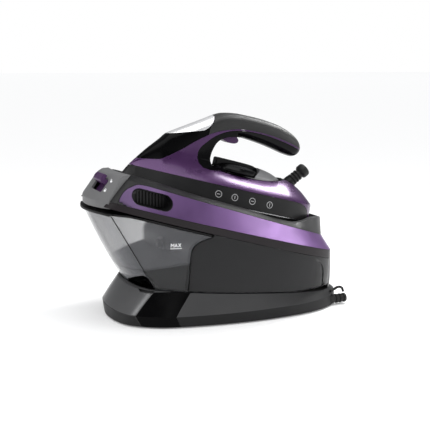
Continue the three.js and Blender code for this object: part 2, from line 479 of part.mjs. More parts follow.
// --- belt, side bands, deck cover
// nose of the cover: bezel volume, lofted across the width
const bezelHalf = (z) => 54 - 9 * Math.min(Math.max((z - 160) / 36, 0), 1);
const bow = (y) => 0.0052 * y * y;
function crossLoft(poly, s0, s1, n = 6) {
  const rings = [];
  for (let k = 0; k <= n; k++) {
    const s = s0 + ((s1 - s0) * k) / n;
    rings.push(poly.map(([x, z, dx = 1]) => [x + bow(s * bezelHalf(z)) * dx, s * bezelHalf(z), z]));
  }
  return loftAny(rings, 0, 2);
}
const HEAD = [[-184.6, 156.5], [-184.6, 165.6], [-164, 192.4], [-158, 196], [-141.5, 196.6, 0.3], [-148.5, 187, 0.2], [-155.5, 172, 0.2], [-162, 156.5, 0.3]];
const HEADG = [[-186, 155.5], [-186, 166.4], [-165, 193.6], [-158.4, 198], [-140.5, 198.6, 0.3], [-140.5, 196.4, 0.3], [-147.6, 186.6, 0.2], [-154.6, 171.6, 0.2], [-160.7, 155.5, 0.3]];
const HEADIN = [[-181.6, 150], [-181.6, 165], [-162.4, 190], [-157, 193.4], [-146.5, 193.7, 0.3], [-152.8, 184.5, 0.2], [-159.3, 170, 0.2], [-165.8, 150, 0.2]];
const headV = solid(crossLoft(HEAD, -1, 1));
const headCut = solid(crossLoft(HEADG, -1.018, 1.018));
const headIn = solid(crossLoft(HEADIN, -0.93, 0.93));
// frame of the sloping bezel face
const S0 = [-174.3, 0, 179], T = [0.6094, 0, 0.7929], N = [-0.7929, 0, 0.6094];
const onFace = (t, y, n) => [S0[0] + T[0] * t + N[0] * n, y, S0[2] + T[2] * t + N[2] * n];
const faceM = new THREE.Matrix4().makeBasis(v3(...T), v3(0, 1, 0), v3(...N)).setPosition(...S0);
// in faceM: x up the slope, y across, z out of the face
const faceBox = (t0, t1, y0, y1, n0, n1) => solid(boxG(t0, y0, n0, t1, y1, n1), faceM);
const slot = faceBox(-2.6, 15.4, -30, 2, -9, 12);
const bladeSlot = box(-156, -2.9, 187.5, -120, 2.9, 190.5);
put("front_bezel", headV.subtract(headIn).subtract(slot).subtract(bladeSlot), M.grey());
put("slot_liner", faceBox(-6, 15, -34, 6, -12.6, -11).add(faceBox(-6, 15, -34, -31.4, -11.4, -8.6)).add(faceBox(-6, 15, 3.4, 6, -11.4, -8.6)), M.black());
const plate = faceBox(-2, 15, -29.4, 1.4, -10, -6.6);
const block = solid(prismG([[8.8, -7], [15, -7], [15, 1.3], [19.2, 1.3], [19.2, 5], [17, 6.4], [10.6, 6.2], [8.8, 4.4]], -29, 1), faceM);
put("lock_slider", plate.add(block), M.lilac());

const belt = solid(beltVol(0, 0.1, -GAP)).subtract(solid(beltVol(BELT_WALL, -20, 20))).subtract(headCut).subtract(box(-260, -50, 100, -150, 50, 240));
put("belt_trim", belt, M.belt());

const upV = solid(upVol(0, 0, 0));
const upIn = (t) => solid(upVol(t, -20, 0));
const ARCH = (d) => [[-163.5 + d, 150], [-162.5 + d, 164 + d * 0.3], [-159 + d, 172.5], [-153 + d, 182.5], [-147 + d * 0.7, 187.4 - d * 0.7], [-138.5, zP(-138.5) - d - 0.15], [200, zP(200) - d - 0.15], [200, 20]];
const bandRegion = (d) => prism(ARCH(d)).subtract(box(120, -42 - d, 0, 300, 42 + d, 300));
const bandSide = (y0, y1) => upV.intersect(bandRegion(GAP).intersect(box(-200, y0, 0, 200, y1, 300))).subtract(upIn(2)).subtract(headCut);
// grip recess: an oval hole through the band and a pocket behind it
const OV_A = [-133.6, 171.4], OV_B = [-105.6, 163.4], OV_R = 10.2;
const oval = (r, y0, y1) => rod([OV_A[0], y0, OV_A[1]], [OV_A[0], y1, OV_A[1]], r, 16)
  .add(rod([OV_B[0], y0, OV_B[1]], [OV_B[0], y1, OV_B[1]], r, 16))
  .add(prism(ovalHull(r), y0, y1));
function ovalHull(r) {
  const dx = OV_B[0] - OV_A[0], dz = OV_B[1] - OV_A[1], l = Math.hypot(dx, dz), nx = (-dz / l) * r * 0.98, nz = (dx / l) * r * 0.98;
  return [[OV_A[0] + nx, OV_A[1] + nz], [OV_B[0] + nx, OV_B[1] + nz], [OV_B[0] - nx, OV_B[1] - nz], [OV_A[0] - nx, OV_A[1] - nz]];
}
const bandR = bandSide(-200, 0), bandL = bandSide(0, 200);
put("side_band_right", bandR.subtract(oval(OV_R, -120, -20)), M.purple());
put("side_band_left", bandL.subtract(oval(OV_R, 20, 120)), M.purple());
// tray for the parked iron, cut along the deck
const trayOutline = (g) => {
  const half = [[-5.6 - g, 0], [-2 - g, 6 + g], [8, 15 + g], [25, 25 + g], [50, 37 + g], [80, 46 + g], [110, 53 + g], [150, 59 + g], [190, 61.5 + g], [225, 61 + g], [252, 57.5 + g], [274, 49 + g], [288, 38 + g], [296, 24 + g], [299 + g, 0]];
  return [...half.map(([u, y]) => [u, -y]), ...half.slice(1, -1).reverse()];
};
const inDeck = (pts, w0, w1) => {
  const shape = new THREE.Shape(pts.map((p) => new THREE.Vector2(p[0], p[1])));
  return solid(new THREE.ExtrudeGeometry(shape, { depth: w1 - w0, bevelEnabled: false, curveSegments: 1 }).translate(0, 0, w0), IRON_M);
};
const traySolid = inDeck(trayOutline(0), TRAY_W, 60);
const hollowCut = inDeck([[-80, -140], [420, -140], [420, 140], [-80, 140]], -200, TRAY_W - 3);
const deckHollow = solid(upVol(6.2, -20, 0)).intersect(hollowCut);
const frontWall = box(-260, -44, 60, -141, 44, 300);
// the seat of each band: its inner skin moved inwards both ways
const band2 = upIn(2);
const seat = (s) => band2.translate([0.5, -0.5 * s, -0.5]).intersect(band2.translate([-0.5, -0.5 * s, -0.5]));
const bandCut = (s, y0, y1) => bandRegion(0).intersect(box(-200, y0, 0, 200, y1, 300)).subtract(seat(s));
const ovalPocket = oval(OV_R + 2.2, -140, -55).add(oval(OV_R + 2.2, 55, 140));
const hookSlot = box(-152, -2.9, 187.5, -128, 2.9, 190.5);
let deck = upV.subtract(bandCut(-1, -200, -20)).subtract(bandCut(1, 20, 200)).subtract(headCut).subtract(traySolid).subtract(deckHollow).subtract(ovalPocket).subtract(hookSlot);
put("deck_cover", deck, M.black());
for (const [name, s] of [["grip_recess_right", -1], ["grip_recess_left", 1]]) {
  // a tub with a ribbed floor, closed at the inner side
  const skinHere = upIn(2.6);
  const y0 = s < 0 ? -100 : 58.6, y1 = s < 0 ? -58.6 : 100;
  let tub = oval(OV_R + 1.7, y0, y1).intersect(skinHere);
  const inner = oval(OV_R - 0.5, s < 0 ? -120 : 62, s < 0 ? -62 : 120);
  put(name, tub.subtract(inner), M.black());
}

// rest mat under the iron: a soft pad with ribs across it
put("rest_mat", inDeck([[22, -18], [60, -31], [110, -43], [170, -50], [230, -49], [264, -38], [274, -20], [274, 20], [264, 38], [230, 49], [170, 50], [110, 43], [60, 31], [22, 18]], TRAY_W + GAP, SOLE_W - GAP), M.rubber());

// lock hook: a steel blade that slides back into the notch of the iron's skirt
put("lock_hook", box(-160.4, -2.5, 187.9, -145.4, 2.5, 190.1).add(box(-160.6, -4.6, 187.6, -158.4, 4.6, 190.4)), M.steel());

// --- outlets at the rear
const boot = (s) => turned([[0, 0], [6.3, 0], [6.3, 12], [5.4, 12], [5.4, 14.6], [6.3, 14.6], [6.3, 20], [5.4, 20], [5.4, 22.6], [6.3, 22.6], [6.3, 31], [0, 31]], [138.7, BOOT_Y * s, BOOT_Z], [1, 0, 0], 12);
put("cord_boot", boot(-1), M.rubber());
put("hose_boot", boot(1), M.rubber());
put("cord_hook", new THREE.BufferGeometry().copy(pipeG([[145.4, -72, 20.2], [151, -72, 22], [158.5, -72, 24.8], [164.4, -72, 22.6], [167, -72, 17.4]], 1.9, 6, 8)), M.black());

// --- inside the station
const cradle = box(-22, -42, 6.4, 50, -34, 50).add(box(-22, 34, 6.4, 50, 42, 50)).add(box(-22, -42, 6.4, 50, 42, 9.4)).subtract(rod([14, -60, 62], [14, 60, 62], 29.4, 20));
put("boiler_cradle", cradle, M.steel());
put("boiler", turned([[0, 0], [16, 0], [25, 3], [29, 9], [29, 83], [25, 89], [16, 92], [0, 92]], [14, -46, 62], [0, 1, 0], 20), M.alu());
put("boiler_heater", box(-8, -26, 24, 36, 26, 31.6).subtract(rod([14, -60, 62], [14, 60, 62], 29.4, 20)), M.steel());
put("pump", turned([[0, 0], [6, 0], [6, 4], [13, 4], [13, 28], [5, 28], [5, 33], [0, 33]], [-58, -30, 24], [1, 0, 0], 14).add(box(-52, -38, 6.4, -32, -22, 14)), M.black());
put("solenoid_valve", box(56, 14, 38, 78, 36, 62).add(rod([67, 25, 30], [67, 25, 70], 6, 12)), M.brass());
put("control_board", box(60, -40, 7, 118, -38.2, 58).add(box(70, -38.3, 24, 88, -26, 40)).add(box(96, -38.3, 20, 108, -30, 34)), M.board());
put("water_pipe", new THREE.BufferGeometry().copy(pipeG([[-63, 0, 83], [-61.5, -2, 66], [-61.5, -16, 44], [-61.5, -28, 32], [-61.8, -30, 24]], 2.4, 6, 10)), M.rubber());
put("steam_pipe", new THREE.BufferGeometry().copy(pipeG([[45, 25, 62], [50, 25, 56], [54, 25, 50]], 2.4, 6, 4)), M.brass());

// ================================================================ IRON
const outlinePts = (f, us, t) => {
  const half = us.map((u) => [u, Math.max(f(u) - t, 0.2)]);
  return [...half.map(([u, y]) => [u, -y]), ...half.reverse()];
};
const soleUs = [-3, 3, 10, 25, 50, 80, 110, 150, 190, 225, 250, 268, 279, 287, 291];
put("soleplate", prismZ(outlinePts(hSole, soleUs, 2.6).map(([u, y]) => [u + (u < 0 ? 3 : u > 288 ? -2.4 : 0), y]), SOLE_W, -8.4).add(prismZ(outlinePts(hSole, [22, 50, 80, 110, 150, 190, 225, 250, 266, 275], 6.4), -9, -5)), M.steel(), iron);
// heat skirt: the band between the soleplate and the body
const skirtRegion = [[-40, -12], [-40, 14.85], [240, 14.85], [253, 13.4], [264, 9.2], [270.6, 2.8], [272.6, -5], [272.6, -12]];
const bodyRegion = [[-40, 15.2], [240.2, 15.2], [253.4, 13.8], [264.5, 9.5], [271, 3], [273, -5], [273, -12], [320, -12], [320, 160], [-40, 160]];
const notch = box(-10, -3.2, -6.6, 5, 3.2, -2.4);
put("heat_skirt", ironV.intersect(prism(skirtRegion)).subtract(domeCore).subtract(coreV).subtract(notch), M.skirt(), iron);
// splits of the upper parts, as profiles in (u, w)
const CAP = [[30, 66.2], [51.8, 66.2], [97, 81], [105, 89], [111.5, 104.6], [112, 130], [30, 130]];
const linerV = (d) => prism([[120 - d, 26 - d], [101 - d, 34 - d], [96.3 - d, 46], [96 - d, 53], [99.2 - d, 59.4 + d], [104.3 - d * 0.8, 65.5 + d], [110.9 - d * 0.7, 72.8 + d], [118.3 - d * 0.5, 78.9 + d], [131.9, 86.7 + d], [150.8, 92.3 + d], [170, 94.4 + d], [190.4, 94.8 + d], [210.8, 93.1 + d], [228.3, 90.9 + d], [246.6, 87.6 + d], [262, 84 + d], [300, 76 + d], [300, 60], [150, 44.7], [127, 44.7], [126, 26 - d]]);
const aboveStripe = (d) => prism([[112.6 + d, 150], [112.6 + d, 106], [112.1 + d, 104.4], [109.6 + d, 96.2], [105.8 + d, 88.6], [105.5 + d, 84.4], [105.3 + d, 77.1 + d], [113.6, 82 + d], [121.4, 85.7 + d], [131.3, 89.3 + d], [140.1, 92.2 + d], [150, 94.5 + d], [169.2, 96.6 + d], [189.7, 97 + d], [210.1, 95.7 + d], [227.5, 93.6 + d], [245.7, 90.3 + d], [262, 86.5 + d], [300, 78 + d], [300, 150]]);
const linerS = upperV.intersect(linerV(0)).intersect(box(80, -17.2, 0, 320, 17.2, 120));
const trigSlot = box(122.4, -8.6, 60, 158, 8.6, 92.6);
const knobWell = rod([KNOB_U, 0, 33.4], [KNOB_U, 0, 60], KNOB_R + 1.5, 24);
put("grip_lower", linerS.subtract(domeV.add(coreV)).subtract(gripCore).subtract(trigSlot).subtract(knobWell), M.gloss(), iron);
put("grip_upper", upperV.intersect(aboveStripe(0)).subtract(gripCore).subtract(coreV).subtract(trigSlot), M.soft(), iron);
put("top_cap", upperV.intersect(prism(CAP)).subtract(coreV).subtract(aboveStripe(-GAP)), M.silver(), iron);
const noseV = prism([[-10, 24.6], [17, 25.6], [26, 27], [44.5, 31], [57.2, 39], [67.2, 46.6], [73.9, 52], [81.5, 58.8], [88.8, 65], [97.1, 71.3], [104.6, 76.6], [104.8, 87.6], [101.2, 83.9], [96.5, 80.2], [52, 65.8], [-10, 65.8]]);
const noseBig = prism([[-10, 24.25], [17, 25.25], [26, 26.65], [44.6, 30.6], [57.4, 38.6], [67.5, 46.2], [74.2, 51.6], [81.8, 58.4], [89.1, 64.6], [97.3, 70.9], [105, 76.3], [105.2, 88.6], [101, 84.6], [96.3, 80.6], [51.9, 66.16], [-10, 66.16]]);
put("nose_cover", upperV.intersect(noseV).subtract(coreV), M.gloss(), iron);
const capBig = prism([[-10, 65.85], [51.9, 65.85], [97.1, 80.65], [105.3, 88.8], [111.85, 104.5], [112.35, 130], [-10, 130]]);
// platform hollow in the body
const PLAT_U = 181.5, PLAT_A = 56, PLAT_B = 29;
const ell = (a, b, n = 22) => [...Array(n)].map((_, i) => [PLAT_U + a * Math.cos((i / n) * 2 * Math.PI), b * Math.sin((i / n) * 2 * Math.PI)]);
const platHole = prismZ(ell(PLAT_A + GAP, PLAT_B + GAP), 30, 80);
const hoseAxis = [0.655, 0, 0.757], hoseAt = [255, 0, 40.5];
const along = (d, at = hoseAt) => [at[0] + hoseAxis[0] * d, 0, at[2] + hoseAxis[2] * d];
const hoseHole = rod(along(-12), along(12), 9.2, 14);
const heelCut = prism([[280.3, 29], [286, 19.2], [289.6, 10.6], [290.2, 2], [290.2, -9], [320, -9], [320, 40], [280.3, 40]]);
let shell = ironV.intersect(prism(bodyRegion)).subtract(linerV(GAP).intersect(box(90, -17.6, 20, 320, 17.6, 110))).subtract(aboveStripe(-GAP)).subtract(noseBig.subtract(box(-20, -60, 0, 200, 60, 24)))
  .subtract(capBig).subtract(coreV).subtract(domeCore).subtract(platHole).subtract(hoseHole).subtract(gripCore).subtract(heelCut).subtract(trigSlot).subtract(knobWell);
put("body_shell", shell, M.purple(), iron);
put("heel_plate", domeV.intersect(prism([[280.6, 29.6], [286.4, 19.5], [290, 10.8], [290.6, 2], [290.6, -9], [320, -9], [320, 40], [280.6, 40]])), M.black(), iron);
// dial platform: a crowned oval with a round pocket for the knob
const platRings = [];
for (const [f, w] of [[1, 30.6], [1, 34.5], [0.94, 38.5], [0.74, 43.6], [0.42, 47.6], [0.08, 49]]) platRings.push([f, w]);
function platG() {
  const n = 22;
  const rs = platRings.map(([f, w]) => ell(PLAT_A * f, PLAT_B * f, n).map(([u, y]) => [u, y, w]));
  return loftAny(rs, 0, 1);
}
const shaftHole = rod([KNOB_U, 0, 20], [KNOB_U, 0, 60], 4.4, 10);
put("dial_platform", solid(platG()).subtract(knobWell).subtract(shaftHole), M.plat(), iron);
// dial knob with a raised bar across it
const knobDisc = turned([[0, 0], [30.5, 0], [KNOB_R, 2.2], [KNOB_R, 5], [30, 8.4], [18, 11.8], [0, 12.8]], [KNOB_U, 0, 34], [0, 0, 1], 24);
const bar = prism([[130.6, 38], [130.6, 49.6], [133.5, 51], [176, 50.4], [190, 48.8], [194, 46.4], [195.4, 42], [195.4, 38]], -6.5, 6.5).intersect(rod([KNOB_U, 0, 30], [KNOB_U, 0, 60], KNOB_R, 24));
put("dial_knob", knobDisc.add(bar).add(rod([KNOB_U, 0, 24], [KNOB_U, 0, 36], 3.8, 10)), M.gloss(), iron);
// hose collar and swivelling strain relief
put("hose_collar", rod(along(-8), along(1.6), 8.8, 14).subtract(rod(along(-12), along(12), 7.2, 14)), M.black(), iron);
put("strain_relief", turned([[0, -7], [6.4, -7], [6.4, 3], [7.4, 3.6], [7.4, 5.6], [6, 6.4], [6, 9], [7.2, 9.6], [7.2, 11.6], [6, 12.4], [6, 18], [8.6, 20], [9.8, 22], [9.8, 28], [8.4, 30], [0, 30]], hoseAt, hoseAxis, 12), M.rubber(), iron);
// trigger
put("trigger", prism([[126.4, 79], [126.4, 90], [132.4, 90], [134.2, 84.2], [151, 83.6], [155, 79.8], [154.6, 76.4], [150.6, 74], [142.6, 73.2], [134.6, 74.6], [129.2, 77]], -7.6, 7.6), M.lilac(), iron);
// inside the iron
put("steam_chamber", prismZ(outlinePts(hSole, [40, 80, 110, 150, 190, 225, 250, 262], 8), -4.6, 8), M.alu(), iron);
put("sole_thermostat", rodG([KNOB_U, 0, 8.4], [KNOB_U, 0, 19], 12, 12), M.steel(), iron);
put("microswitch", box(136, -5, 86.8, 150, 5, 92.4), M.black(), iron);
put("steam_tube", new THREE.BufferGeometry().copy(pipeG([[248.5, 0, 31.5], [240, 0, 26], [228, 0, 20], [219, 0, 15], [216, 0, 11.4]], 2.4, 6, 7)), M.rubber(), iron);

export default root;
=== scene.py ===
# Steam generator iron: fine meshes, materials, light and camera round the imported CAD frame.
import bpy, bmesh, math, json
import numpy as np
from mathutils import Vector, Matrix

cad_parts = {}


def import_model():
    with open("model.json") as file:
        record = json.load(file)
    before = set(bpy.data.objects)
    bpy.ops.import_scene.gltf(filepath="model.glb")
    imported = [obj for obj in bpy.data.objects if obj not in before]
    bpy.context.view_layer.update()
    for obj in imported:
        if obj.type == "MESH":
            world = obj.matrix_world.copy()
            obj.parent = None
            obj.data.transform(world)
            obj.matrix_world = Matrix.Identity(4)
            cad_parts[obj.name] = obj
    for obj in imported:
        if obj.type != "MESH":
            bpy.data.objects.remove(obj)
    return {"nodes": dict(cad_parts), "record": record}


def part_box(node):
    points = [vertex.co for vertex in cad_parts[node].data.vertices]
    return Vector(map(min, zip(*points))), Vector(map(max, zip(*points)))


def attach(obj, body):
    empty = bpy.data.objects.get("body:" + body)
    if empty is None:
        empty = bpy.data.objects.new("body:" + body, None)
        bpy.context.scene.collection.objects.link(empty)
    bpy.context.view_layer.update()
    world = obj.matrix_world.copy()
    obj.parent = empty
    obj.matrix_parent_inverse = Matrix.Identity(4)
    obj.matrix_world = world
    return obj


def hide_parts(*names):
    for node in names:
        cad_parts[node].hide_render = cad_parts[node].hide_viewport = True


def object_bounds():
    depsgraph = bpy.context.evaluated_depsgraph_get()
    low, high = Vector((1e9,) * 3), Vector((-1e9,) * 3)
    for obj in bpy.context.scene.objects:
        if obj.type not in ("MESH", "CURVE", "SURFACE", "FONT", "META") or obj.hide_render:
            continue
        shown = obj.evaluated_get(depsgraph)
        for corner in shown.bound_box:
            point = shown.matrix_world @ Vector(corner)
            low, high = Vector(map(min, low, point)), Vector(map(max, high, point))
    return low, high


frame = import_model()
cad_box = [list(v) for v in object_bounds()]
scene = bpy.context.scene
NODES = frame["nodes"]
BODY_OF = {n: b for b, ns in frame["record"]["behaviour"]["bodies"].items() for n in ns}

SX = 5.45
DECK = math.radians(14.5)
CT, ST = math.cos(DECK), math.sin(DECK)
IRON_AT = (-138.0, 0.0, 193.0)
GAP = 0.35

# ------------------------------------------------------------------ camera
AZ, EL, DIST = math.radians(-25), math.radians(10), 1.167
target = Vector((SX / 1000, 0, 0.128))
back = Vector((math.sin(AZ) * math.cos(EL), -math.cos(AZ) * math.cos(EL), math.sin(EL)))
cam_data = bpy.data.cameras.new("camera")
cam = bpy.data.objects.new("camera", cam_data)
scene.collection.objects.link(cam)
cam.location = target + back * DIST
cam.rotation_euler = (target - cam.location).to_track_quat("-Z", "Y").to_euler()
cam_data.sensor_width = 36.0
cam_data.lens = 840.0 / 430.0 * 36.0
cam_data.clip_end = 200
scene.camera = cam

# ------------------------------------------------------------------ solids
work = bpy.data.collections.new("work")
scene.collection.children.link(work)


class S:
    """A closed mesh in millimetres, joined and cut with its neighbours."""

    def __init__(self, me):
        self.me = me

    def _op(self, other, op):
        a = bpy.data.objects.new("a", self.me)
        b = bpy.data.objects.new("b", other.me)
        work.objects.link(a)
        work.objects.link(b)
        m = a.modifiers.new("m", "BOOLEAN")
        m.operation, m.object = op, b
        m.solver = "MANIFOLD"
        out = None
        for solver in ("MANIFOLD", "EXACT"):
            m.solver = solver
            dg = bpy.context.evaluated_depsgraph_get()
            out = bpy.data.meshes.new_from_object(a.evaluated_get(dg))
            if len(out.polygons) and not (op != "UNION" and solver == "MANIFOLD" and same(out, self.me)):
                break
        bpy.data.objects.remove(a)
        bpy.data.objects.remove(b)
        return S(out)

    def __sub__(self, o):
        return self._op(o, "DIFFERENCE") if meets(self, o) else self

    def __and__(self, o):
        return self._op(o, "INTERSECT")

    def __or__(self, o):
        return self._op(o, "UNION")

    def moved(self, x, y, z):
        me = self.me.copy()
        me.transform(Matrix.Translation((x, y, z)))
        return S(me)

    def span(self):
        co = np.empty(len(self.me.vertices) * 3, np.float32)
        self.me.vertices.foreach_get("co", co)
        co = co.reshape(-1, 3)
        return co.min(0), co.max(0)


def same(a, b):
    return len(a.vertices) == len(b.vertices) and len(a.polygons) == len(b.polygons)


def meets(a, b):
    (al, ah), (bl, bh) = a.span(), b.span()
    return bool(np.all(al < bh) and np.all(bl < ah))


def solid(verts, faces, matrix=None):
    me = bpy.data.meshes.new("s")
    me.from_pydata([tuple(float(c) for c in v) for v in verts], [], [tuple(f) for f in faces])
    bm = bmesh.new()
    bm.from_mesh(me)
    bmesh.ops.remove_doubles(bm, verts=bm.verts, dist=1e-4)
    bmesh.ops.recalc_face_normals(bm, faces=bm.faces)
    if bm.calc_volume(signed=True) < 0:
        bmesh.ops.reverse_faces(bm, faces=bm.faces)
    bm.to_mesh(me)
    bm.free()
    if matrix is not None:
        me.transform(matrix)
    return S(me)


def sides(n, count, faces):
    for k in range(count - 1):
        for i in range(n):
            a, b = k * n + i, k * n + (i + 1) % n
            faces.append((a, b, b + n, a + n))


def loft(rings):
    """Rings symmetric about y = 0, the ends closed by strips across the mirror plane."""
    n, h = len(rings[0]), len(rings[0]) // 2
    verts = [p for r in rings for p in r]
    faces = []
    sides(n, len(rings), faces)
    for o in (0, (len(rings) - 1) * n):
        faces.append((o, o + n - 1, o + 1))
        for i in range(1, h - 1):
            faces.append((o + i, o + n - i, o + n - i - 1, o + i + 1))
        faces.append((o + h - 1, o + h + 1, o + h))
    return solid(verts, faces)


def loft_any(rings, matrix=None):
    n = len(rings[0])
    verts = [p for r in rings for p in r]
    faces = []
    sides(n, len(rings), faces)
    faces.append(tuple(range(n)))
    faces.append(tuple(range((len(rings) - 1) * n, len(rings) * n)))
    return solid(verts, faces, matrix)


def prism(pts, y0=-160, y1=160, matrix=None):
    return loft_any([[(p[0], y, p[1]) for p in pts] for y in (y0, y1)], matrix)


def prism_z(pts, z0, z1, matrix=None):
    return loft_any([[(p[0], p[1], z) for p in pts] for z in (z0, z1)], matrix)


def box(x0, y0, z0, x1, y1, z1, matrix=None):
    return prism_z([(x0, y0), (x1, y0), (x1, y1), (x0, y1)], z0, z1, matrix)


def frame_of(a, d):
    z = Vector(d).normalized()
    x = Vector((0, 1, 0)).cross(z) if abs(z.y) < 0.9 else Vector((1, 0, 0))
    x = (x - z * x.dot(z)).normalized()
    y = z.cross(x)
    m = Matrix((x, y, z)).transposed().to_4x4()
    return Matrix.Translation(a) @ m


def turned(profile, a, d, seg=48, rib=None):
    """A turned piece: profile of (radius, height) along the axis d from a."""
    verts, faces, rings = [], [], []
    for k, (r, h) in enumerate(profile):
        if r <= 0.001:
            rings.append([len(verts)])
            verts.append((0, 0, h))
        else:
            ids = []
            for i in range(seg):
                t = 2 * math.pi * i / seg
                rr = r * (rib(t, k) if rib else 1)
                ids.append(len(verts))
                verts.append((rr * math.cos(t), rr * math.sin(t), h))
            rings.append(ids)
    for r0, r1 in zip(rings, rings[1:]):
        for i in range(seg):
            j = (i + 1) % seg
            if len(r0) == 1 and len(r1) == 1:
                continue
            if len(r0) == 1:
                faces.append((r0[0], r1[i], r1[j]))
            elif len(r1) == 1:
                faces.append((r0[i], r0[j], r1[0]))
            else:
                faces.append((r0[i], r0[j], r1[j], r1[i]))
    return solid(verts, faces, frame_of(a, d))


def rod(a, b, r, seg=40, r2=None):
    d = Vector(b) - Vector(a)
    return turned([(0, 0), (r, 0), (r if r2 is None else r2, d.length), (0, d.length)], a, d, seg)


def catmull(pts, sub, closed=False, sharp=()):
    """Points -> a smooth run through them, left sharp at the indices given."""
    n = len(pts)
    P = [np.array(p, float) for p in pts]
    out = []
    last = n if closed else n - 1
    for i in range(last):
        p1, p2 = P[i], P[(i + 1) % n]
        p0 = P[(i - 1) % n] if (closed or i > 0) and i not in sharp else 2 * p1 - p2
        j = (i + 1) % n
        p3 = P[(i + 2) % n] if (closed or i + 2 < n) and j not in sharp else 2 * p2 - p1
        d = [max(np.linalg.norm(b - a), 1e-6) ** 0.5 for a, b in ((p0, p1), (p1, p2), (p2, p3))]
        m1 = p2 - p1 + d[1] * ((p1 - p0) / d[0] - (p2 - p0) / (d[0] + d[1]))
        m2 = p2 - p1 + d[1] * ((p3 - p2) / d[2] - (p3 - p1) / (d[1] + d[2]))
        for s in range(sub):
            t = s / sub
            out.append((2 * t ** 3 - 3 * t ** 2 + 1) * p1 + (t ** 3 - 2 * t ** 2 + t) * m1
                       + (-2 * t ** 3 + 3 * t ** 2) * p2 + (t ** 3 - t ** 2) * m2)
    if not closed:
        out.append(P[-1])
    return [tuple(p) for p in out]


def pipe(points, r, seg=16, sub=6, radii=None):
    pts = [Vector(p) for p in catmull(points, sub)]
    rings, prev = [], None
    for i, p in enumerate(pts):
        t = (pts[min(i + 1, len(pts) - 1)] - pts[max(i - 1, 0)]).normalized()
        n = Vector((0, 1, 0)) if prev is None else prev
        n = (n - t * n.dot(t)).normalized()
        prev = n
        b = t.cross(n)
        rr = r if radii is None else radii(i / (len(pts) - 1))
        rings.append([tuple(p + n * rr * math.cos(2 * math.pi * k / seg) + b * rr * math.sin(2 * math.pi * k / seg)) for k in range(seg)])
    return loft_any(rings)


def table(t):
    """Monotone interpolation of a table of (x, y)."""
    n = len(t)
    d = [(t[i + 1][1] - t[i][1]) / (t[i + 1][0] - t[i][0]) for i in range(n - 1)]
    m = [d[0]] + [0 if d[i - 1] * d[i] <= 0 else 2 * d[i - 1] * d[i] / (d[i - 1] + d[i]) for i in range(1, n - 1)] + [d[-1]]

    def f(x):
        if x <= t[0][0]:
            return t[0][1]
        if x >= t[-1][0]:
            return t[-1][1]
        i = 0
        while x > t[i + 1][0]:
            i += 1
        h = t[i + 1][0] - t[i][0]
        s = (x - t[i][0]) / h
        return ((2 * s ** 3 - 3 * s ** 2 + 1) * t[i][1] + (s ** 3 - 2 * s ** 2 + s) * h * m[i]
                + (-2 * s ** 3 + 3 * s ** 2) * t[i + 1][1] + (s ** 3 - s ** 2) * h * m[i + 1])
    return f


# ------------------------------------------------------------------ station volumes
C0 = [(-157, 0), (-155.5, 20), (-150, 40), (-140, 55), (-120, 71.5), (-94, 83), (-40, 95), (15, 101), (70, 100), (108, 94), (137, 82), (157, 65), (171, 38), (176, 0)]
C1 = [(-158, 0), (-156.5, 22), (-152, 42), (-143.5, 58), (-121, 74.5), (-95, 87), (-40, 98), (15, 103), (70, 102), (110, 94), (139, 80), (158, 61), (171.5, 36), (176.5, 0)]
C2 = [(-133, 0), (-132, 18), (-128.5, 40), (-117, 62.6), (-97, 72), (-70, 80.5), (-25, 87.5), (20, 89.5), (65, 88.5), (100, 84), (129, 76), (151, 60), (165.5, 36), (170.5, 0)]
B = [(-131.3, 0), (-130.2, 20), (-125.8, 41), (-114.6, 60.4), (-95.3, 70), (-69, 79), (-25, 86), (20, 88), (65, 87), (100, 82.6), (128, 74.7), (150, 59), (164.3, 35), (169.3, 0)]
A0 = [(-188, 0), (-186, 20), (-180, 42), (-169.5, 58), (-143, 73), (-107, 85), (-65, 92.5), (0, 96.5), (60, 94), (105, 85), (135, 73), (151, 60), (166, 34), (171, 0)]
A1 = [(-180, 0), (-178, 20), (-172.5, 42), (-165, 59), (-140, 74), (-105, 86), (-65, 93.5), (0, 97.5), (60, 95), (105, 86), (135, 73.5), (151, 60), (166, 34), (171, 0)]
PP = [(-152, 0), (-150, 22), (-146, 40), (-140, 54), (-118, 66), (-90, 77), (-55, 86), (0, 89), (55, 87), (95, 79), (120, 69), (137, 56), (151, 32), (156, 0)]
DK = [(-2, 0), (-1, 22), (3, 38), (10, 49), (36, 57), (66, 65), (100, 71), (155, 75), (205, 74), (243, 68), (268, 61), (285, 49), (300, 28), (306, 0)]
RIM = table([(-10, 3), (20, 2), (92, -4), (150, -7), (175, -9), (205, -12), (232, -12.5), (252, -8), (268, -1), (285, 1), (320, 1)])
SUB = 5


def zB(x): return 48 - 0.1 * (x + 112)
def zA0(x): return 157 - 0.289 * (x + 169)
def zA1(x): return 164 - 0.2766 * (x + 163)
def zP(x): return 189 - 0.326 * (x + 137)


def to_world(u, y, w):
    return (IRON_AT[0] + u * CT + w * ST, y, IRON_AT[2] - u * ST + w * CT)


def dense(half, sub=SUB):
    ext = [(half[1][0], -half[1][1])] + list(half) + [(half[-2][0], -half[-2][1])]
    out = []
    for i in range(1, len(ext) - 2):
        p0, p1, p2, p3 = ext[i - 1:i + 3]
        for s in range(sub):
            t = s / sub
            out.append(tuple(0.5 * (2 * p1[k] + (p2[k] - p0[k]) * t + (2 * p0[k] - 5 * p1[k] + 4 * p2[k] - p3[k]) * t * t
                                    + (3 * p1[k] - p0[k] - 3 * p2[k] + p3[k]) * t ** 3) for k in (0, 1)))
    out.append(tuple(half[-1]))
    return out


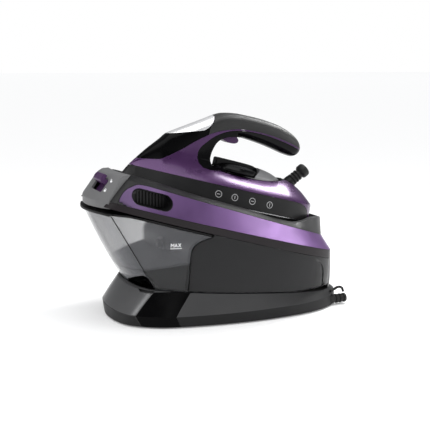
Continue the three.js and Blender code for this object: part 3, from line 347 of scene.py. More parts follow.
def inset(half, t):
    if not t:
        return half
    out = []
    for i, p in enumerate(half):
        a = half[i - 1] if i else (half[1][0], -half[1][1])
        b = half[i + 1] if i + 1 < len(half) else (half[i - 1][0], -half[i - 1][1])
        dx, dy = b[0] - a[0], b[1] - a[1]
        l = math.hypot(dx, dy)
        out.append((p[0] + dy / l * t, 0 if i in (0, len(half) - 1) else max(p[1] - dx / l * t, 0.3)))
    return out


def ring(half, z):
    near = [(x, -y, z(x, y)) for x, y in half]
    far = [(x, y, z(x, y)) for x, y in half[1:-1][::-1]]
    return near + far


def plinth_vol(t=0.0, z0=2.0, d_top=0.0, rows=4):
    c0, c1, c2 = (inset(dense(c), t) for c in (C0, C1, C2))
    rings = [ring(c0, lambda x, y: z0)]
    mix = lambda a, b, f: [(p[0] + (q[0] - p[0]) * f, p[1] + (q[1] - p[1]) * f) for p, q in zip(a, b)]
    for k in range(1, rows):
        f = k / rows
        g = f + 0.25 * f * (1 - f)
        rings.append(ring(mix(c0, c1, g), lambda x, y, f=f: z0 + (16.5 - z0) * f))
    rings.append(ring(c1, lambda x, y: 16.5))
    zt = [zB(x) + d_top for x, y in c2]
    for k in range(1, rows):
        f = k / rows
        m = mix(c1, c2, f - 0.10 * f * (1 - f))
        zs = dict((p, 16.5 + (q - 16.5) * f) for p, q in zip(range(len(m)), zt))
        near = [(x, -y, zs[i]) for i, (x, y) in enumerate(m)]
        far = [(x, y, zs[i]) for i, (x, y) in list(enumerate(m))[1:-1][::-1]]
        rings.append(near + far)
    rings.append(ring(c2, lambda x, y: zB(x) + d_top))
    return loft(rings)


MIDF = 0.45
MIDR = [(p[0] + (a[0] - p[0]) * MIDF - 3 * max(0, 1 - i / 4.5), p[1] + (a[1] - p[1]) * MIDF + (1.6 if i else 0)) for i, (p, a) in enumerate(zip(B, A0))]


def mid_vol(t=0.0, lo=GAP, hi=-GAP, rows=7):
    b, m, a = (inset(dense(c), t) for c in (B, MIDR, A0))
    rings = []
    for k in range(rows + 1):
        q = k / rows
        half, zs = [], []
        for i in range(len(b)):
            H = zA0(a[i][0]) - zB(b[i][0])
            f = q + (lo * (1 - q) + hi * q) / H
            l0 = (f - MIDF) * (f - 1) / MIDF
            l1 = f * (f - 1) / (MIDF * (MIDF - 1))
            l2 = f * (f - MIDF) / (1 - MIDF)
            x = b[i][0] * l0 + m[i][0] * l1 + a[i][0] * l2
            y = b[i][1] * l0 + m[i][1] * l1 + a[i][1] * l2
            half.append((x, y))
            zs.append((zB(x) + lo) * (1 - q) + (zA0(x) + hi) * q)
        near = [(x, -y, zs[i]) for i, (x, y) in enumerate(half)]
        far = [(x, y, zs[i]) for i, (x, y) in list(enumerate(half))[1:-1][::-1]]
        rings.append(near + far)
    return loft(rings)


def belt_vol(t=0.0, lo=0.0, hi=-GAP, rows=4, crown=0.0):
    a, b = inset(dense(A0), t), inset(dense(A1), t)
    rings = []
    for k in range(rows + 1):
        f = k / rows
        half = [(p[0] + (q[0] - p[0]) * f, p[1] + (q[1] - p[1]) * f) for p, q in zip(a, b)]
        half = inset(half, -crown * 4 * f * (1 - f)) if crown else half
        rings.append(ring(half, lambda x, y, f=f: (zA0(x) + lo) * (1 - f) + (zA1(x) + hi) * f))
    return loft(rings)


def deck_ring(t, dw):
    half = inset(dense(DK), t)
    near = [to_world(u, -y, RIM(u) + dw) for u, y in half]
    far = [to_world(u, y, RIM(u) + dw) for u, y in half[1:-1][::-1]]
    return near + far


def up_vol(t=0.0, lo=0.0, dw=0.0, rows=5):
    """From the belt's top out to the deck's rim."""
    a, b = inset(dense(A1), t), inset(dense(PP), t)
    rings = []
    for k in range(rows + 1):
        q = k / rows
        half, zs = [], []
        for p, r in zip(a, b):
            H = zP(r[0]) - zA1(p[0])
            f = q + lo * (1 - q) / H
            g = f
            half.append((p[0] + (r[0] - p[0]) * g, p[1] + (r[1] - p[1]) * g))
            x = half[-1][0]
            zs.append((zA1(x) + lo) * (1 - q) + zP(x) * q)
        near = [(x, -y, zs[i]) for i, (x, y) in enumerate(half)]
        far = [(x, y, zs[i]) for i, (x, y) in list(enumerate(half))[1:-1][::-1]]
        rings.append(near + far)
    top = deck_ring(t, dw)
    last = rings[-1]
    for f in (0.5,):
        rings.append([tuple(p[k] + (q[k] - p[k]) * f for k in range(3)) for p, q in zip(last, top)])
    rings.append(top)
    return loft(rings)


IRON_M = Matrix.Translation(IRON_AT) @ Matrix.Rotation(DECK, 4, "Y")
TO_ROW = Matrix.Scale(0.001, 4) @ Matrix.Translation((SX, 0, 0))

# ------------------------------------------------------------------ pieces
made = {}


def largest(me):
    bm = bmesh.new()
    bm.from_mesh(me)
    bm.verts.ensure_lookup_table()
    seen, groups = set(), []
    for v in bm.verts:
        if v.index in seen:
            continue
        stack, group = [v], []
        seen.add(v.index)
        while stack:
            w = stack.pop()
            group.append(w)
            for e in w.link_edges:
                o = e.other_vert(w)
                if o.index not in seen:
                    seen.add(o.index)
                    stack.append(o)
        groups.append(group)
    if len(groups) > 1:
        def size(g):
            fs = {f for v in g for f in v.link_faces}
            return abs(sum(f.calc_center_median().dot(f.normal) * f.calc_area() for f in fs))
        groups.sort(key=size, reverse=True)
        bmesh.ops.delete(bm, geom=[v for g in groups[1:] for v in g], context="VERTS")
    bmesh.ops.dissolve_degenerate(bm, dist=0.01, edges=bm.edges)
    bm.to_mesh(me)
    bm.free()


def piece(name, s, node, material, iron=False, angle=28, keep=True, extra=False):
    """The fine mesh that stands for a CAD node, or an extra detail that rides with it."""
    me = s.me.copy()
    if keep:
        largest(me)
    if iron:
        me.transform(IRON_M)
    me.transform(TO_ROW)
    me.name = name
    co = np.empty(len(me.vertices) * 3, np.float32)
    me.vertices.foreach_get("co", co)
    co = np.clip(co.reshape(-1, 3), np.array(cad_box[0], np.float32), np.array(cad_box[1], np.float32))
    me.vertices.foreach_set("co", co.ravel())
    me.update()
    me.polygons.foreach_set("use_smooth", [True] * len(me.polygons))
    me.set_sharp_from_angle(angle=math.radians(angle))
    me.materials.clear()
    me.materials.append(material)
    o = bpy.data.objects.new(name, me)
    scene.collection.objects.link(o)
    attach(o, BODY_OF[node])
    if not extra:
        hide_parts(node)
    made[name] = o
    return o


# ------------------------------------------------------------------ materials
def new_material(name):
    m = bpy.data.materials.new(name)
    m.use_nodes = True
    nt = m.node_tree
    return m, nt, nt.nodes["Principled BSDF"]


def moulded(name, color, rough, coat=0.0, coat_rough=0.08, metallic=0.0, grain=0.0, grain_scale=9000.0, vary=0.06, rough_vary=0.05, spec=0.5, edge=0.0006, tint=None, alpha=1.0, sheen=0.0):
    """Moulded plastic, rubber or metal: colour drift, uneven gloss, fine grain and softened edges."""
    m, nt, bs = new_material(name)
    N, L = nt.nodes, nt.links
    tc = N.new("ShaderNodeTexCoord")
    big = N.new("ShaderNodeTexNoise")
    big.inputs["Scale"].default_value = 14.0
    big.inputs["Detail"].default_value = 3.0
    L.new(tc.outputs["Object"], big.inputs["Vector"])
    ramp = N.new("ShaderNodeValToRGB")
    e = ramp.color_ramp.elements
    e[0].position, e[1].position = 0.3, 0.7
    lo = [max(c * (1 - vary), 0) for c in color]
    hi = [min(c * (1 + vary), 1) for c in (tint or color)]
    e[0].color, e[1].color = (*lo, 1), (*hi, 1)
    L.new(big.outputs["Fac"], ramp.inputs["Fac"])
    L.new(ramp.outputs["Color"], bs.inputs["Base Color"])
    fine = N.new("ShaderNodeTexNoise")
    fine.inputs["Scale"].default_value = 60.0
    fine.inputs["Detail"].default_value = 4.0
    L.new(tc.outputs["Object"], fine.inputs["Vector"])
    mr = N.new("ShaderNodeMapRange")
    mr.inputs["From Min"].default_value, mr.inputs["From Max"].default_value = 0.3, 0.7
    mr.inputs["To Min"].default_value, mr.inputs["To Max"].default_value = max(rough - rough_vary, 0.01), rough + rough_vary
    L.new(fine.outputs["Fac"], mr.inputs["Value"])
    L.new(mr.outputs["Result"], bs.inputs["Roughness"])
    bs.inputs["Metallic"].default_value = metallic
    bs.inputs["Specular IOR Level"].default_value = spec
    bs.inputs["Coat Weight"].default_value = coat
    bs.inputs["Coat Roughness"].default_value = coat_rough
    bs.inputs["Alpha"].default_value = alpha
    if sheen:
        bs.inputs["Sheen Weight"].default_value = sheen
        bs.inputs["Sheen Roughness"].default_value = 0.4
    bump = N.new("ShaderNodeBump")
    bump.inputs["Strength"].default_value = 1.0
    bump.inputs["Distance"].default_value = max(grain, 0.000002)
    if edge:
        bev = N.new("ShaderNodeBevel")
        bev.samples = 4
        bev.inputs["Radius"].default_value = edge
        L.new(bev.outputs["Normal"], bump.inputs["Normal"])
    tex = N.new("ShaderNodeTexNoise")
    tex.inputs["Scale"].default_value = grain_scale
    tex.inputs["Detail"].default_value = 2.0
    L.new(tc.outputs["Object"], tex.inputs["Vector"])
    L.new(tex.outputs["Fac"], bump.inputs["Height"])
    L.new(bump.outputs["Normal"], bs.inputs["Normal"])
    return m


MAT = {
    "toe": moulded("toe_grey_paint", (0.15, 0.15, 0.152), 0.34, coat=0.15, coat_rough=0.25, metallic=0.6, grain=0.000004, grain_scale=2600, edge=0.0008),
    "skirt": moulded("plinth_grey_painted_shade", (0.037, 0.037, 0.038), 0.42, spec=0.3, grain=0.000006, grain_scale=2400),
    "strip": moulded("plinth_strip", (0.010, 0.010, 0.0105), 0.45, spec=0.2, grain=0.000006, grain_scale=2400),
    "gloss": moulded("gloss_black", (0.0022, 0.0022, 0.0025), 0.16, coat=0.06, coat_rough=0.05, spec=0.10, rough_vary=0.03, edge=0.0006),
    "corner": moulded("corner_black", (0.0015, 0.0015, 0.0017), 0.25, spec=0.06, edge=0.0006),
    "black": moulded("black_plastic", (0.007, 0.007, 0.0073), 0.42, spec=0.25, grain=0.000012, grain_scale=1800),
    "rim": moulded("deck_rim_grey", (0.060, 0.060, 0.061), 0.42, spec=0.35, grain=0.000012, grain_scale=1800),
    "belt": moulded("belt_brown_grey", (0.016, 0.013, 0.0145), 0.40, spec=0.18, grain=0.000006, grain_scale=2000),
    "purple": moulded("purple_pearl_painted_light", (0.135, 0.068, 0.198), 0.36, coat=0.25, coat_rough=0.2, metallic=0.6, vary=0.06, grain=0.000003, grain_scale=4000),
    "body": moulded("iron_purple", (0.060, 0.019, 0.085), 0.30, coat=0.35, coat_rough=0.14, metallic=0.5, vary=0.06, spec=0.3, grain=0.000003, grain_scale=4000),
    "lilac": moulded("lilac_plastic", (0.058, 0.020, 0.078), 0.42, spec=0.25, grain=0.000006, grain_scale=2400),
    "grey": moulded("bezel_grey", (0.145, 0.145, 0.147), 0.42, spec=0.35, grain=0.000008, grain_scale=2400),
    "silver": moulded("silver_cap", (0.92, 0.92, 0.93), 0.30, metallic=0.6, coat=0.3, coat_rough=0.15, grain=0.000002, grain_scale=4000),
    "soft": moulded("soft_touch", (0.012, 0.012, 0.0123), 0.48, spec=0.4, grain=0.000014, grain_scale=3000, sheen=0.1),
    "rubber": moulded("rubber_black", (0.008, 0.008, 0.008), 0.55, spec=0.3, grain=0.000016, grain_scale=1500),
    "dial": moulded("dial_black", (0.0018, 0.0018, 0.002), 0.24, coat=0.08, coat_rough=0.1, spec=0.10, grain=0.000004),
    "plat": moulded("platform_grey", (0.19, 0.19, 0.193), 0.36, spec=0.45, coat=0.15, coat_rough=0.2, grain=0.000006),
    "heat": moulded("heat_skirt", (0.0115, 0.0113, 0.0118), 0.36, coat=0.08, coat_rough=0.22, spec=0.25, grain=0.000006, grain_scale=2400),
    "housing": moulded("housing_dark", (0.009, 0.009, 0.0095), 0.5, spec=0.2, grain=0.000010, grain_scale=1800),
    "steel": moulded("steel", (0.55, 0.55, 0.56), 0.28, metallic=1.0, grain=0.000004, grain_scale=3000),
    "alu": moulded("cast_aluminium", (0.5, 0.5, 0.5), 0.45, metallic=1.0, grain=0.00003, grain_scale=900),
    "brass": moulded("brass", (0.55, 0.38, 0.14), 0.32, metallic=1.0, grain=0.000006),
    "board": moulded("solder_mask", (0.02, 0.12, 0.05), 0.35, grain=0.00001, grain_scale=700),
    "white": moulded("print_white", (0.85, 0.85, 0.85), 0.5, edge=0, vary=0.02),
    "print": moulded("print_grey", (0.50, 0.50, 0.51), 0.5, edge=0, vary=0.02),
}


def graded(m, x0, x1, c0, c1):
    """A colour ramp along the length of the station; each use below paints light or shade into the colour."""
    N, L = m.node_tree.nodes, m.node_tree.links
    tc, sep, mr, ramp = (N.new(k) for k in ("ShaderNodeTexCoord", "ShaderNodeSeparateXYZ", "ShaderNodeMapRange", "ShaderNodeValToRGB"))
    L.new(tc.outputs["Object"], sep.inputs[0])
    mr.inputs["From Min"].default_value, mr.inputs["From Max"].default_value = x0, x1
    L.new(sep.outputs["X"], mr.inputs["Value"])
    ramp.color_ramp.elements[0].color = (*c0, 1)
    ramp.color_ramp.elements[1].color = (*c1, 1)
    L.new(mr.outputs["Result"], ramp.inputs["Fac"])
    L.new(ramp.outputs["Color"], N["Principled BSDF"].inputs["Base Color"])
    return m


# painted shade: the deck is near black towards the front, where it lies in shade under the iron, and grey towards the
# rear
MAT["deck"] = graded(moulded("deck_grey_painted_shade", (0.02, 0.02, 0.02), 0.42, spec=0.28, grain=0.000012, grain_scale=1800), 0.055, 0.125, (0.006, 0.006, 0.0063), (0.055, 0.055, 0.056))

# painted light: the purple bands run from dark at the front to bright at the rear, standing in for the highlight that
# falls on their rear part
graded(MAT["purple"], -0.165, 0.0, (0.042, 0.018, 0.066), (0.215, 0.115, 0.300))
# painted shade: the plinth's grey darkens towards the rear, where less light falls on it
graded(MAT["skirt"], -0.02, 0.15, (0.043, 0.043, 0.044), (0.022, 0.022, 0.0225))


def smoked(name, color, alpha, rough=0.05, coat=0.8, spec=0.5):
    """Clear smoke tinted plastic: a tinted film at each face, with gloss on top."""
    m, nt, bs = new_material(name)
    N, L = nt.nodes, nt.links
    tc = N.new("ShaderNodeTexCoord")
    no = N.new("ShaderNodeTexNoise")
    no.inputs["Scale"].default_value = 9.0
    L.new(tc.outputs["Object"], no.inputs["Vector"])
    mr = N.new("ShaderNodeMapRange")
    mr.inputs["To Min"].default_value, mr.inputs["To Max"].default_value = max(rough - 0.02, 0.005), rough + 0.03
    L.new(no.outputs["Fac"], mr.inputs["Value"])
    L.new(mr.outputs["Result"], bs.inputs["Roughness"])
    lw = N.new("ShaderNodeLayerWeight")
    lw.inputs["Blend"].default_value = 0.35
    am = N.new("ShaderNodeMapRange")
    am.inputs["To Min"].default_value, am.inputs["To Max"].default_value = alpha, min(alpha + 0.45, 1)
    L.new(lw.outputs["Facing"], am.inputs["Value"])
    L.new(am.outputs["Result"], bs.inputs["Alpha"])
    ramp = N.new("ShaderNodeValToRGB")
    e = ramp.color_ramp.elements
    e[0].color = (*[c * 0.95 for c in color], 1)
    e[1].color = (*[c * 1.05 for c in color], 1)
    L.new(no.outputs["Fac"], ramp.inputs["Fac"])
    L.new(ramp.outputs["Color"], bs.inputs["Base Color"])
    bs.inputs["Coat Weight"].default_value = coat
    bs.inputs["Specular IOR Level"].default_value = spec
    bs.inputs["Coat Roughness"].default_value = 0.03
    return m


MAT["smoke"] = smoked("tank_smoke", (0.185, 0.187, 0.200), 0.24, coat=0.25, spec=0.35)
# painted shade: a darker smoke for the tank's low zone, standing in for the shade that falls there
MAT["smoke3"] = smoked("tank_skirt_painted_shade", (0.065, 0.066, 0.068), 0.30, coat=0.12, spec=0.3)
MAT["smoke2"] = smoked("cover_smoke", (0.012, 0.012, 0.013), 0.70, rough=0.14, coat=0.12, spec=0.25)

# ------------------------------------------------------------------ station pieces
NO_SIDES = 8


def mir(pts):
    return [(x, -y) for x, y in pts][::-1]


plinth_full = plinth_vol()
in2 = plinth_vol(2, -4, -2)
corner = [(-113, -64.8), (-182, -55.2), (-190, -117.2), (-66, -77.5)]
corner_big = [(-111.5, -64.6), (-188, -53.96), (-196, -119.5), (-62.5, -76.76)]
seat_of = lambda s: in2.moved(0.5, -0.5 * s, -0.5) & in2.moved(0.5, 0, -0.6)
piece("corner_panel_right_fine", (plinth_full & prism_z(corner, 0, 46)) - in2, "corner_panel_right", MAT["corner"])
piece("corner_panel_left_fine", (plinth_full & prism_z(mir(corner), 0, 46)) - in2, "corner_panel_left", MAT["corner"])
toe_region = [(-115.5, -63.6), (-190, -53.2), (-190, 53.2), (-115.5, 63.6)]
toe = ((plinth_full & prism_z(toe_region, 17.5, 47.4)) - in2) - prism_z([(-129.2, -70), (-60, -70), (-60, 70), (-129.2, 70)], 44.6, 60)
piece("toe_panel_fine", toe, "toe_panel", MAT["toe"])
cut_r = prism_z(corner_big, -5, 46.35) - seat_of(-1)
cut_l = prism_z(mir(corner_big), -5, 46.35) - seat_of(1)
cut_toe = prism_z([(-114.6, -64.4), (-190, -54), (-190, 54), (-114.6, 64.4)], 17.15, 47.75) - in2.moved(0.6, 0, -0.4)
plinth_hollow = plinth_vol(5, -4, -4.5)
well = prism_z([(-64, -62), (60, -70), (118, -62), (138, -44), (138, 44), (118, 62), (60, 70), (-64, 62)], 10, 80)
TRAY = [(-129.6, -12), (-128.4, -26), (-125.5, -39), (-117, -54), (-106, -58), (-106, 58), (-117, 54), (-125.5, 39), (-128.4, 26), (-129.6, 12)]
TRAY = catmull(TRAY, 5, closed=True, sharp=(4, 5))
BOOT_Y, BOOT_Z = 72, 8.4
boot_holes = [rod((128, s * BOOT_Y, BOOT_Z), (200, s * BOOT_Y, BOOT_Z), 6.9) for s in (-1, 1)]
tray_pocket = prism_z([(x + (0.4 if x > -110 else -0.4), y * 1.01) for x, y in TRAY], 45.2, 70)
plinth = ((((plinth_full - cut_r) - cut_l) - cut_toe) - plinth_hollow) - well - tray_pocket - boot_holes[0] - boot_holes[1]
o = piece("plinth_fine", plinth, "plinth", MAT["skirt"])
# the upright strip under the slope is a darker, flatter moulding
o.data.materials.append(MAT["strip"])
for p in o.data.polygons:
    if p.center.z < 0.0166 and abs(p.normal.z) < 0.5:
        p.material_index = 1

dish = turned([(0, -7.2)] + [(60 * math.cos(a), 60 * math.sin(a) * 0.12) for a in [(-90 + 5 * i) * math.pi / 180 for i in range(1, 36)]] + [(0, 7.2)], (0, 0, 0), (0, 0, 1), 48)
dish.me.transform(Matrix.Translation((-106, 0, 53.8)) @ Matrix.Diagonal((0.34, 0.8, 1, 1)))
tray_top = prism([(-160, 40), (-80, 40), (-80, zB(-80) + 0.5), (-160, zB(-160) + 0.5)])
piece("toe_tray_fine", (prism_z(TRAY, 45.6, 49.2) & tray_top) - dish, "toe_tray", MAT["gloss"])

REARC = [(-75, 30), (-75, 96), (-73.4, 103.5), (-68.5, 110), (-60, 114.3), (-48, 117.2), (-45, 122), (-45, 190)]
REARS = catmull(REARC, 6, sharp=(1, 5, 6))
def behind(d): return [(x + d, z - d * 0.6) for x, z in REARS] + [(260, 190), (260, 30)]
def before(d): return [(x - d, z + d * 0.4) for x, z in REARS] + [(-260, 190), (-260, 30)]
def lid_top(x): return min(zA0(x) - 1.4, 152.4 - 0.1 * (x + 188))
LX = [-200, -150, -149, -120, -45.5]
def under(d): return [(x, lid_top(x) - d) for x in LX] + [(-44, 20), (-200, 20)]
def floor_z(x): return 75.5 + 0.17 * (x + 126)
def above(d): return [(-220, floor_z(-220) + d), (20, floor_z(20) + d), (20, 200), (-220, 200)]
def below(d): return [(-220, floor_z(-220) + d), (20, floor_z(20) + d), (20, 0), (-220, 0)]
def mid_in(t, lo=-20, hi=20): return mid_vol(t, lo, hi)


WALL = 2.5
FINGER = [(4, 40), (5, 52.6), (24.7, 58.6), (44.7, 64.8), (53.6, 67.2), (58.6, 68.2), (61.4, 65.2), (61.9, 58), (61.9, 46), (61.9, 40)]
FINGER = catmull(FINGER, 5, sharp=(0, 1, 8, 9))
def scoop(pts): return loft_any([[(x, y, z) for y, z in pts] for x in (-150, -104)])
fing = [scoop(FINGER), scoop([(-y, z) for y, z in FINGER][::-1])]
VALVE_Z = 96
before0, beforeW = prism(before(0)), prism(before(WALL))
tank = (mid_vol(0, 0.5, 6) & before0) & prism(under(3))
tank = tank - ((mid_in(WALL) & beforeW) & prism(above(2.4)))
tank = tank - ((mid_in(WALL) & beforeW) & prism(below(0)))
tank = tank - fing[0] - fing[1] - rod((-90, 0, VALVE_Z), (-60, 0, VALVE_Z), 6.4)
def low_zone(d): return prism([(-129.4 - d, floor_z(-129.4) + d), (-112.4 - d, 45), (-112.4 - d, 20), (-20, 20), (-20, floor_z(-20) + d)])
# painted shade: the tank's low zone is split off and given the darker smoke
piece("tank_skirt_fine", tank & low_zone(0), "water_tank", MAT["smoke3"], keep=False, extra=True)
piece("water_tank_fine", tank - low_zone(0.05), "water_tank", MAT["smoke"], keep=False)
tank_film = (((mid_vol(-0.14, 0.5, 6) - mid_vol(0.3, -20, 20)) & before0) & prism(under(3.4))) - fing[0] - fing[1]
# painted shade: a thin black strip on the tank film along the crease stands in for the dark line of shade at that edge
CREASE = [(-172, 154), (-112.6, 46)]
piece("tank_crease_painted_shade", tank_film & prism([(CREASE[0][0] - 0.6, CREASE[0][1]), (CREASE[1][0] - 0.6, CREASE[1][1]), (CREASE[1][0] + 0.6, CREASE[1][1]), (CREASE[0][0] + 0.6, CREASE[0][1])]), "water_tank", MAT["black"], keep=False, extra=True)


def strokes(lines, w, y0=-160, y1=160, matrix=None, flat=False):
    """Straight strokes as a list of thin prisms."""
    out = []
    for (a, b), (c, d) in lines:
        l = math.hypot(c - a, d - b)
        nx, nz = -(d - b) / l * w / 2, (c - a) / l * w / 2
        ex, ez = (c - a) / l * w / 2, (d - b) / l * w / 2
        quad = [(a + nx - ex, b + nz - ez), (c + nx + ex, d + nz + ez), (c - nx + ex, d - nz + ez), (a - nx - ex, b - nz - ez)]
        out.append(prism_z(quad, y0, y1, matrix) if flat else prism(quad, y0, y1, matrix))
    return out


MX, MZ, MH, MW = -99.6, 107.6, 4.2, 3.4
letters = [((MX, MZ), (MX, MZ + MH)), ((MX, MZ + MH), (MX + MW / 2, MZ + MH * 0.4)), ((MX + MW / 2, MZ + MH * 0.4), (MX + MW, MZ + MH)), ((MX + MW, MZ + MH), (MX + MW, MZ)),
           ((MX + 4.6, MZ), (MX + 6.1, MZ + MH)), ((MX + 6.1, MZ + MH), (MX + 7.6, MZ)), ((MX + 5.2, MZ + 1.2), (MX + 7.0, MZ + 1.2)),
           ((MX + 9, MZ), (MX + 11.8, MZ + MH)), ((MX + 9, MZ + MH), (MX + 11.8, MZ)),
           ((MX - 0.6, MZ - 2.2), (MX + 13.0, MZ - 2.2))]
right_film = tank_film & box(-200, -160, 40, 0, 0, 200)
for k, q in enumerate(strokes(letters, 0.75)):
    piece(f"level_mark_{k:02d}", right_film & q, "water_tank", MAT["white"], keep=False, extra=True)
bW = prism(before(WALL + GAP))
base = (mid_in(WALL + GAP, 1, 20) & bW) & prism(below(-GAP))
hollow = ((mid_in(WALL + GAP + 2.5) & prism(before(WALL + GAP + 2.5))) & prism(below(-GAP - 2.5))) - box(-200, -62, 0, -102, 62, 71)
piece("tank_base_fine", base - hollow - fing[0] - fing[1], "tank_base", MAT["housing"])
LIPX = -187.4
lip = dense([(LIPX, 0), (LIPX + 2, 20), (LIPX + 7.8, 42), (LIPX + 16, 56.6)])
lid_outline = prism_z([(-48, -60), (-165, -58)] + [(x, -y) for x, y in lip[::-1]] + lip[1:] + [(-165, 58), (-48, 60)], 60, 200)
lid_slab = prism([(x, lid_top(x)) for x in LX] + [(x, lid_top(x) - 2.6) for x in LX[::-1]])
lid_wide = mid_vol(2.2, -20, 20) | (lid_outline & box(-200, -70, 60, -168, 70, 200))
lid = ((lid_slab & lid_wide) & box(-200, -120, 60, -46.5, 120, 200)) - box(-148, -18, 100, -118, 18, 200)
piece("tank_lid_fine", lid, "tank_lid", MAT["housing"])
piece("tank_valve_fine", turned([(0, 0), (5.8, 0), (5.8, 6), (8.1, 6), (8.4, 6.4), (8.4, 9.2), (8.1, 9.6), (5, 9.6), (5, 12), (4.5, 12.5), (4.5, 14), (5, 14.5), (5, 17.2), (4.7, 17.6), (0, 17.6)], (-87.2, 0, VALVE_Z), (1, 0, 0)), "tank_valve", MAT["black"])

# housing behind the smoked skin, with a large shallow panel pressed into each side
housing = (mid_in(5.6, 0.6, -1) & prism(behind(1.4)))
housing = housing - (mid_in(8.2, -20, 20) & prism(behind(4.4))) - rod((-76, 0, VALVE_Z), (-60, 0, VALVE_Z), 9.4) - box(120, -200, 0, 300, 200, 200)
piece("inner_housing_fine", housing, "inner_housing", MAT["housing"])
skin = (mid_vol(0, GAP, -GAP) - mid_in(WALL)) & prism(behind(1.4))
PANEL = catmull([(-71.5, 30), (-71.5, 90), (-69, 99), (-61, 107), (-43, 109.6), (-9.2, 103.6), (50.7, 87.6), (108, 72), (122, 66.5), (130, 56), (131, 30)], 5, closed=True, sharp=(0, 1, 10))
skin = skin - ((mid_vol(-2, -20, 20) - mid_vol(0.9, -20, 20)) & prism(PANEL))
piece("side_cover_right_fine", skin & box(-100, -200, 0, 146, 0, 200), "side_cover_right", MAT["smoke2"])
piece("side_cover_left_fine", skin & box(-100, 0, 0, 146, 200, 200), "side_cover_left", MAT["smoke2"])
rear = (mid_vol(0, GAP, -GAP) - mid_in(WALL)) & box(146.6, -200, 0, 300, 200, 200)
piece("rear_cover_fine", rear - box(140, -11.5, 30, 200, 11.5, 48), "rear_cover", MAT["rim"])

# ------------------------------------------------------------------ head, belt, bands, deck
def bezel_half(z): return 54 - 9 * min(max((z - 160) / 36, 0), 1)
def bow(y): return 0.0052 * y * y
def cross_loft(poly, s0, s1, n=24):
    rings = []
    for k in range(n + 1):
        s = s0 + (s1 - s0) * k / n
        rings.append([(p[0] + bow(s * bezel_half(p[1])) * (p[2] if len(p) > 2 else 1), s * bezel_half(p[1]), p[1]) for p in poly])
    return loft_any(rings)


HEAD = [(-184.6, 156.5), (-184.6, 165.6), (-183.6, 167.4), (-165.6, 190.9), (-163.4, 193.0), (-158, 195.9), (-155, 196.3, .85), (-141.5, 196.6, .3), (-148.5, 187, .2), (-155.5, 172, .2), (-162, 156.5, .3)]
HEADG = [(-186, 155.5), (-186, 166.4), (-165, 193.6), (-158.4, 198), (-140.5, 198.6, .3), (-140.5, 196.4, .3), (-147.6, 186.6, .2), (-154.6, 171.6, .2), (-160.7, 155.5, .3)]
HEADIN = [(-181.6, 150), (-181.6, 165), (-162.4, 190), (-157, 193.4), (-146.5, 193.7, .3), (-152.8, 184.5, .2), (-159.3, 170, .2), (-165.8, 150, .2)]
head = cross_loft(HEAD, -1, 1)
head_cut = cross_loft(HEADG, -1.018, 1.018)
head_in = cross_loft(HEADIN, -0.93, 0.93)
S0, T, NN = (-174.3, 0, 179), Vector((0.6094, 0, 0.7929)), Vector((-0.7929, 0, 0.6094))
FACE = Matrix(((T.x, 0, NN.x, S0[0]), (0, 1, 0, 0), (T.z, 0, NN.z, S0[2]), (0, 0, 0, 1)))
def face_box(t0, t1, y0, y1, n0, n1): return box(t0, y0, n0, t1, y1, n1, FACE)


def round_rect(x0, y0, x1, y1, r, n=6):
    pts = []
    for cx, cy, a in ((x1 - r, y1 - r, 0), (x0 + r, y1 - r, 90), (x0 + r, y0 + r, 180), (x1 - r, y0 + r, 270)):
        for i in range(n + 1):
            t = math.radians(a + 90 * i / n)
            pts.append((cx + r * math.cos(t), cy + r * math.sin(t)))
    return pts


ICON_T, ICON_Y = (16, 2), -35.5
slot = prism_z(round_rect(-2.6, -30, 15.4, 2, 2.2), -9, 12, FACE)
bezel = head - head_in - slot - box(-156, -2.9, 187.5, -120, 2.9, 190.5)
piece("front_bezel_fine", bezel, "front_bezel", MAT["grey"])
face_film = head.moved(-0.12, 0, 0.09) - head
for k, (t, open_) in enumerate(((ICON_T[0], 1.6), (ICON_T[1], 0))):
    lock = [prism_z(round_rect(t - 1.6, ICON_Y - 1.8, t + 0.9, ICON_Y + 1.8, 0.3), -14, 10, FACE)]
    lock += strokes([((t + 0.9, ICON_Y - 1.2 + open_), (t + 2.2, ICON_Y - 1.2 + open_)), ((t + 2.2, ICON_Y - 1.2 + open_), (t + 2.2, ICON_Y + 1.2 + open_)), ((t + 2.2, ICON_Y + 1.2 + open_), (t + (0.9 if not open_ else 1.4), ICON_Y + 1.2 + open_))], 0.6, -14, 10, FACE, flat=True)
    for j, q in enumerate(lock):
        piece(f"lock_mark_{k}_{j}", face_film & q, "front_bezel", MAT["white"], keep=False, extra=True)
plate = prism_z(round_rect(-2, -29.4, 15, 1.4, 1.6), -10, -6.6, FACE)
thumb = prism(catmull([(8.8, -7), (15, -7), (15, 1.3), (19.2, 1.3), (19.2, 5), (17, 6.4), (10.6, 6.2), (8.8, 4.4)], 5, closed=True, sharp=(0, 1, 2, 3)), -29, 1, FACE)
slider = plate | thumb
for k in range(5):
    slider = slider - rod(FACE @ Vector((10.9 + 1.5 * k, -27, 7.35)), FACE @ Vector((10.9 + 1.5 * k, -1, 7.35)), 1.15, 16)
piece("lock_slider_fine", slider, "lock_slider", MAT["lilac"])

belt = ((belt_vol(0, 0.1, -GAP) - belt_vol(4, -20, 20)) - head_cut) - box(-260, -50, 100, -150, 50, 240)
piece("belt_trim_fine", belt, "belt_trim", MAT["belt"])

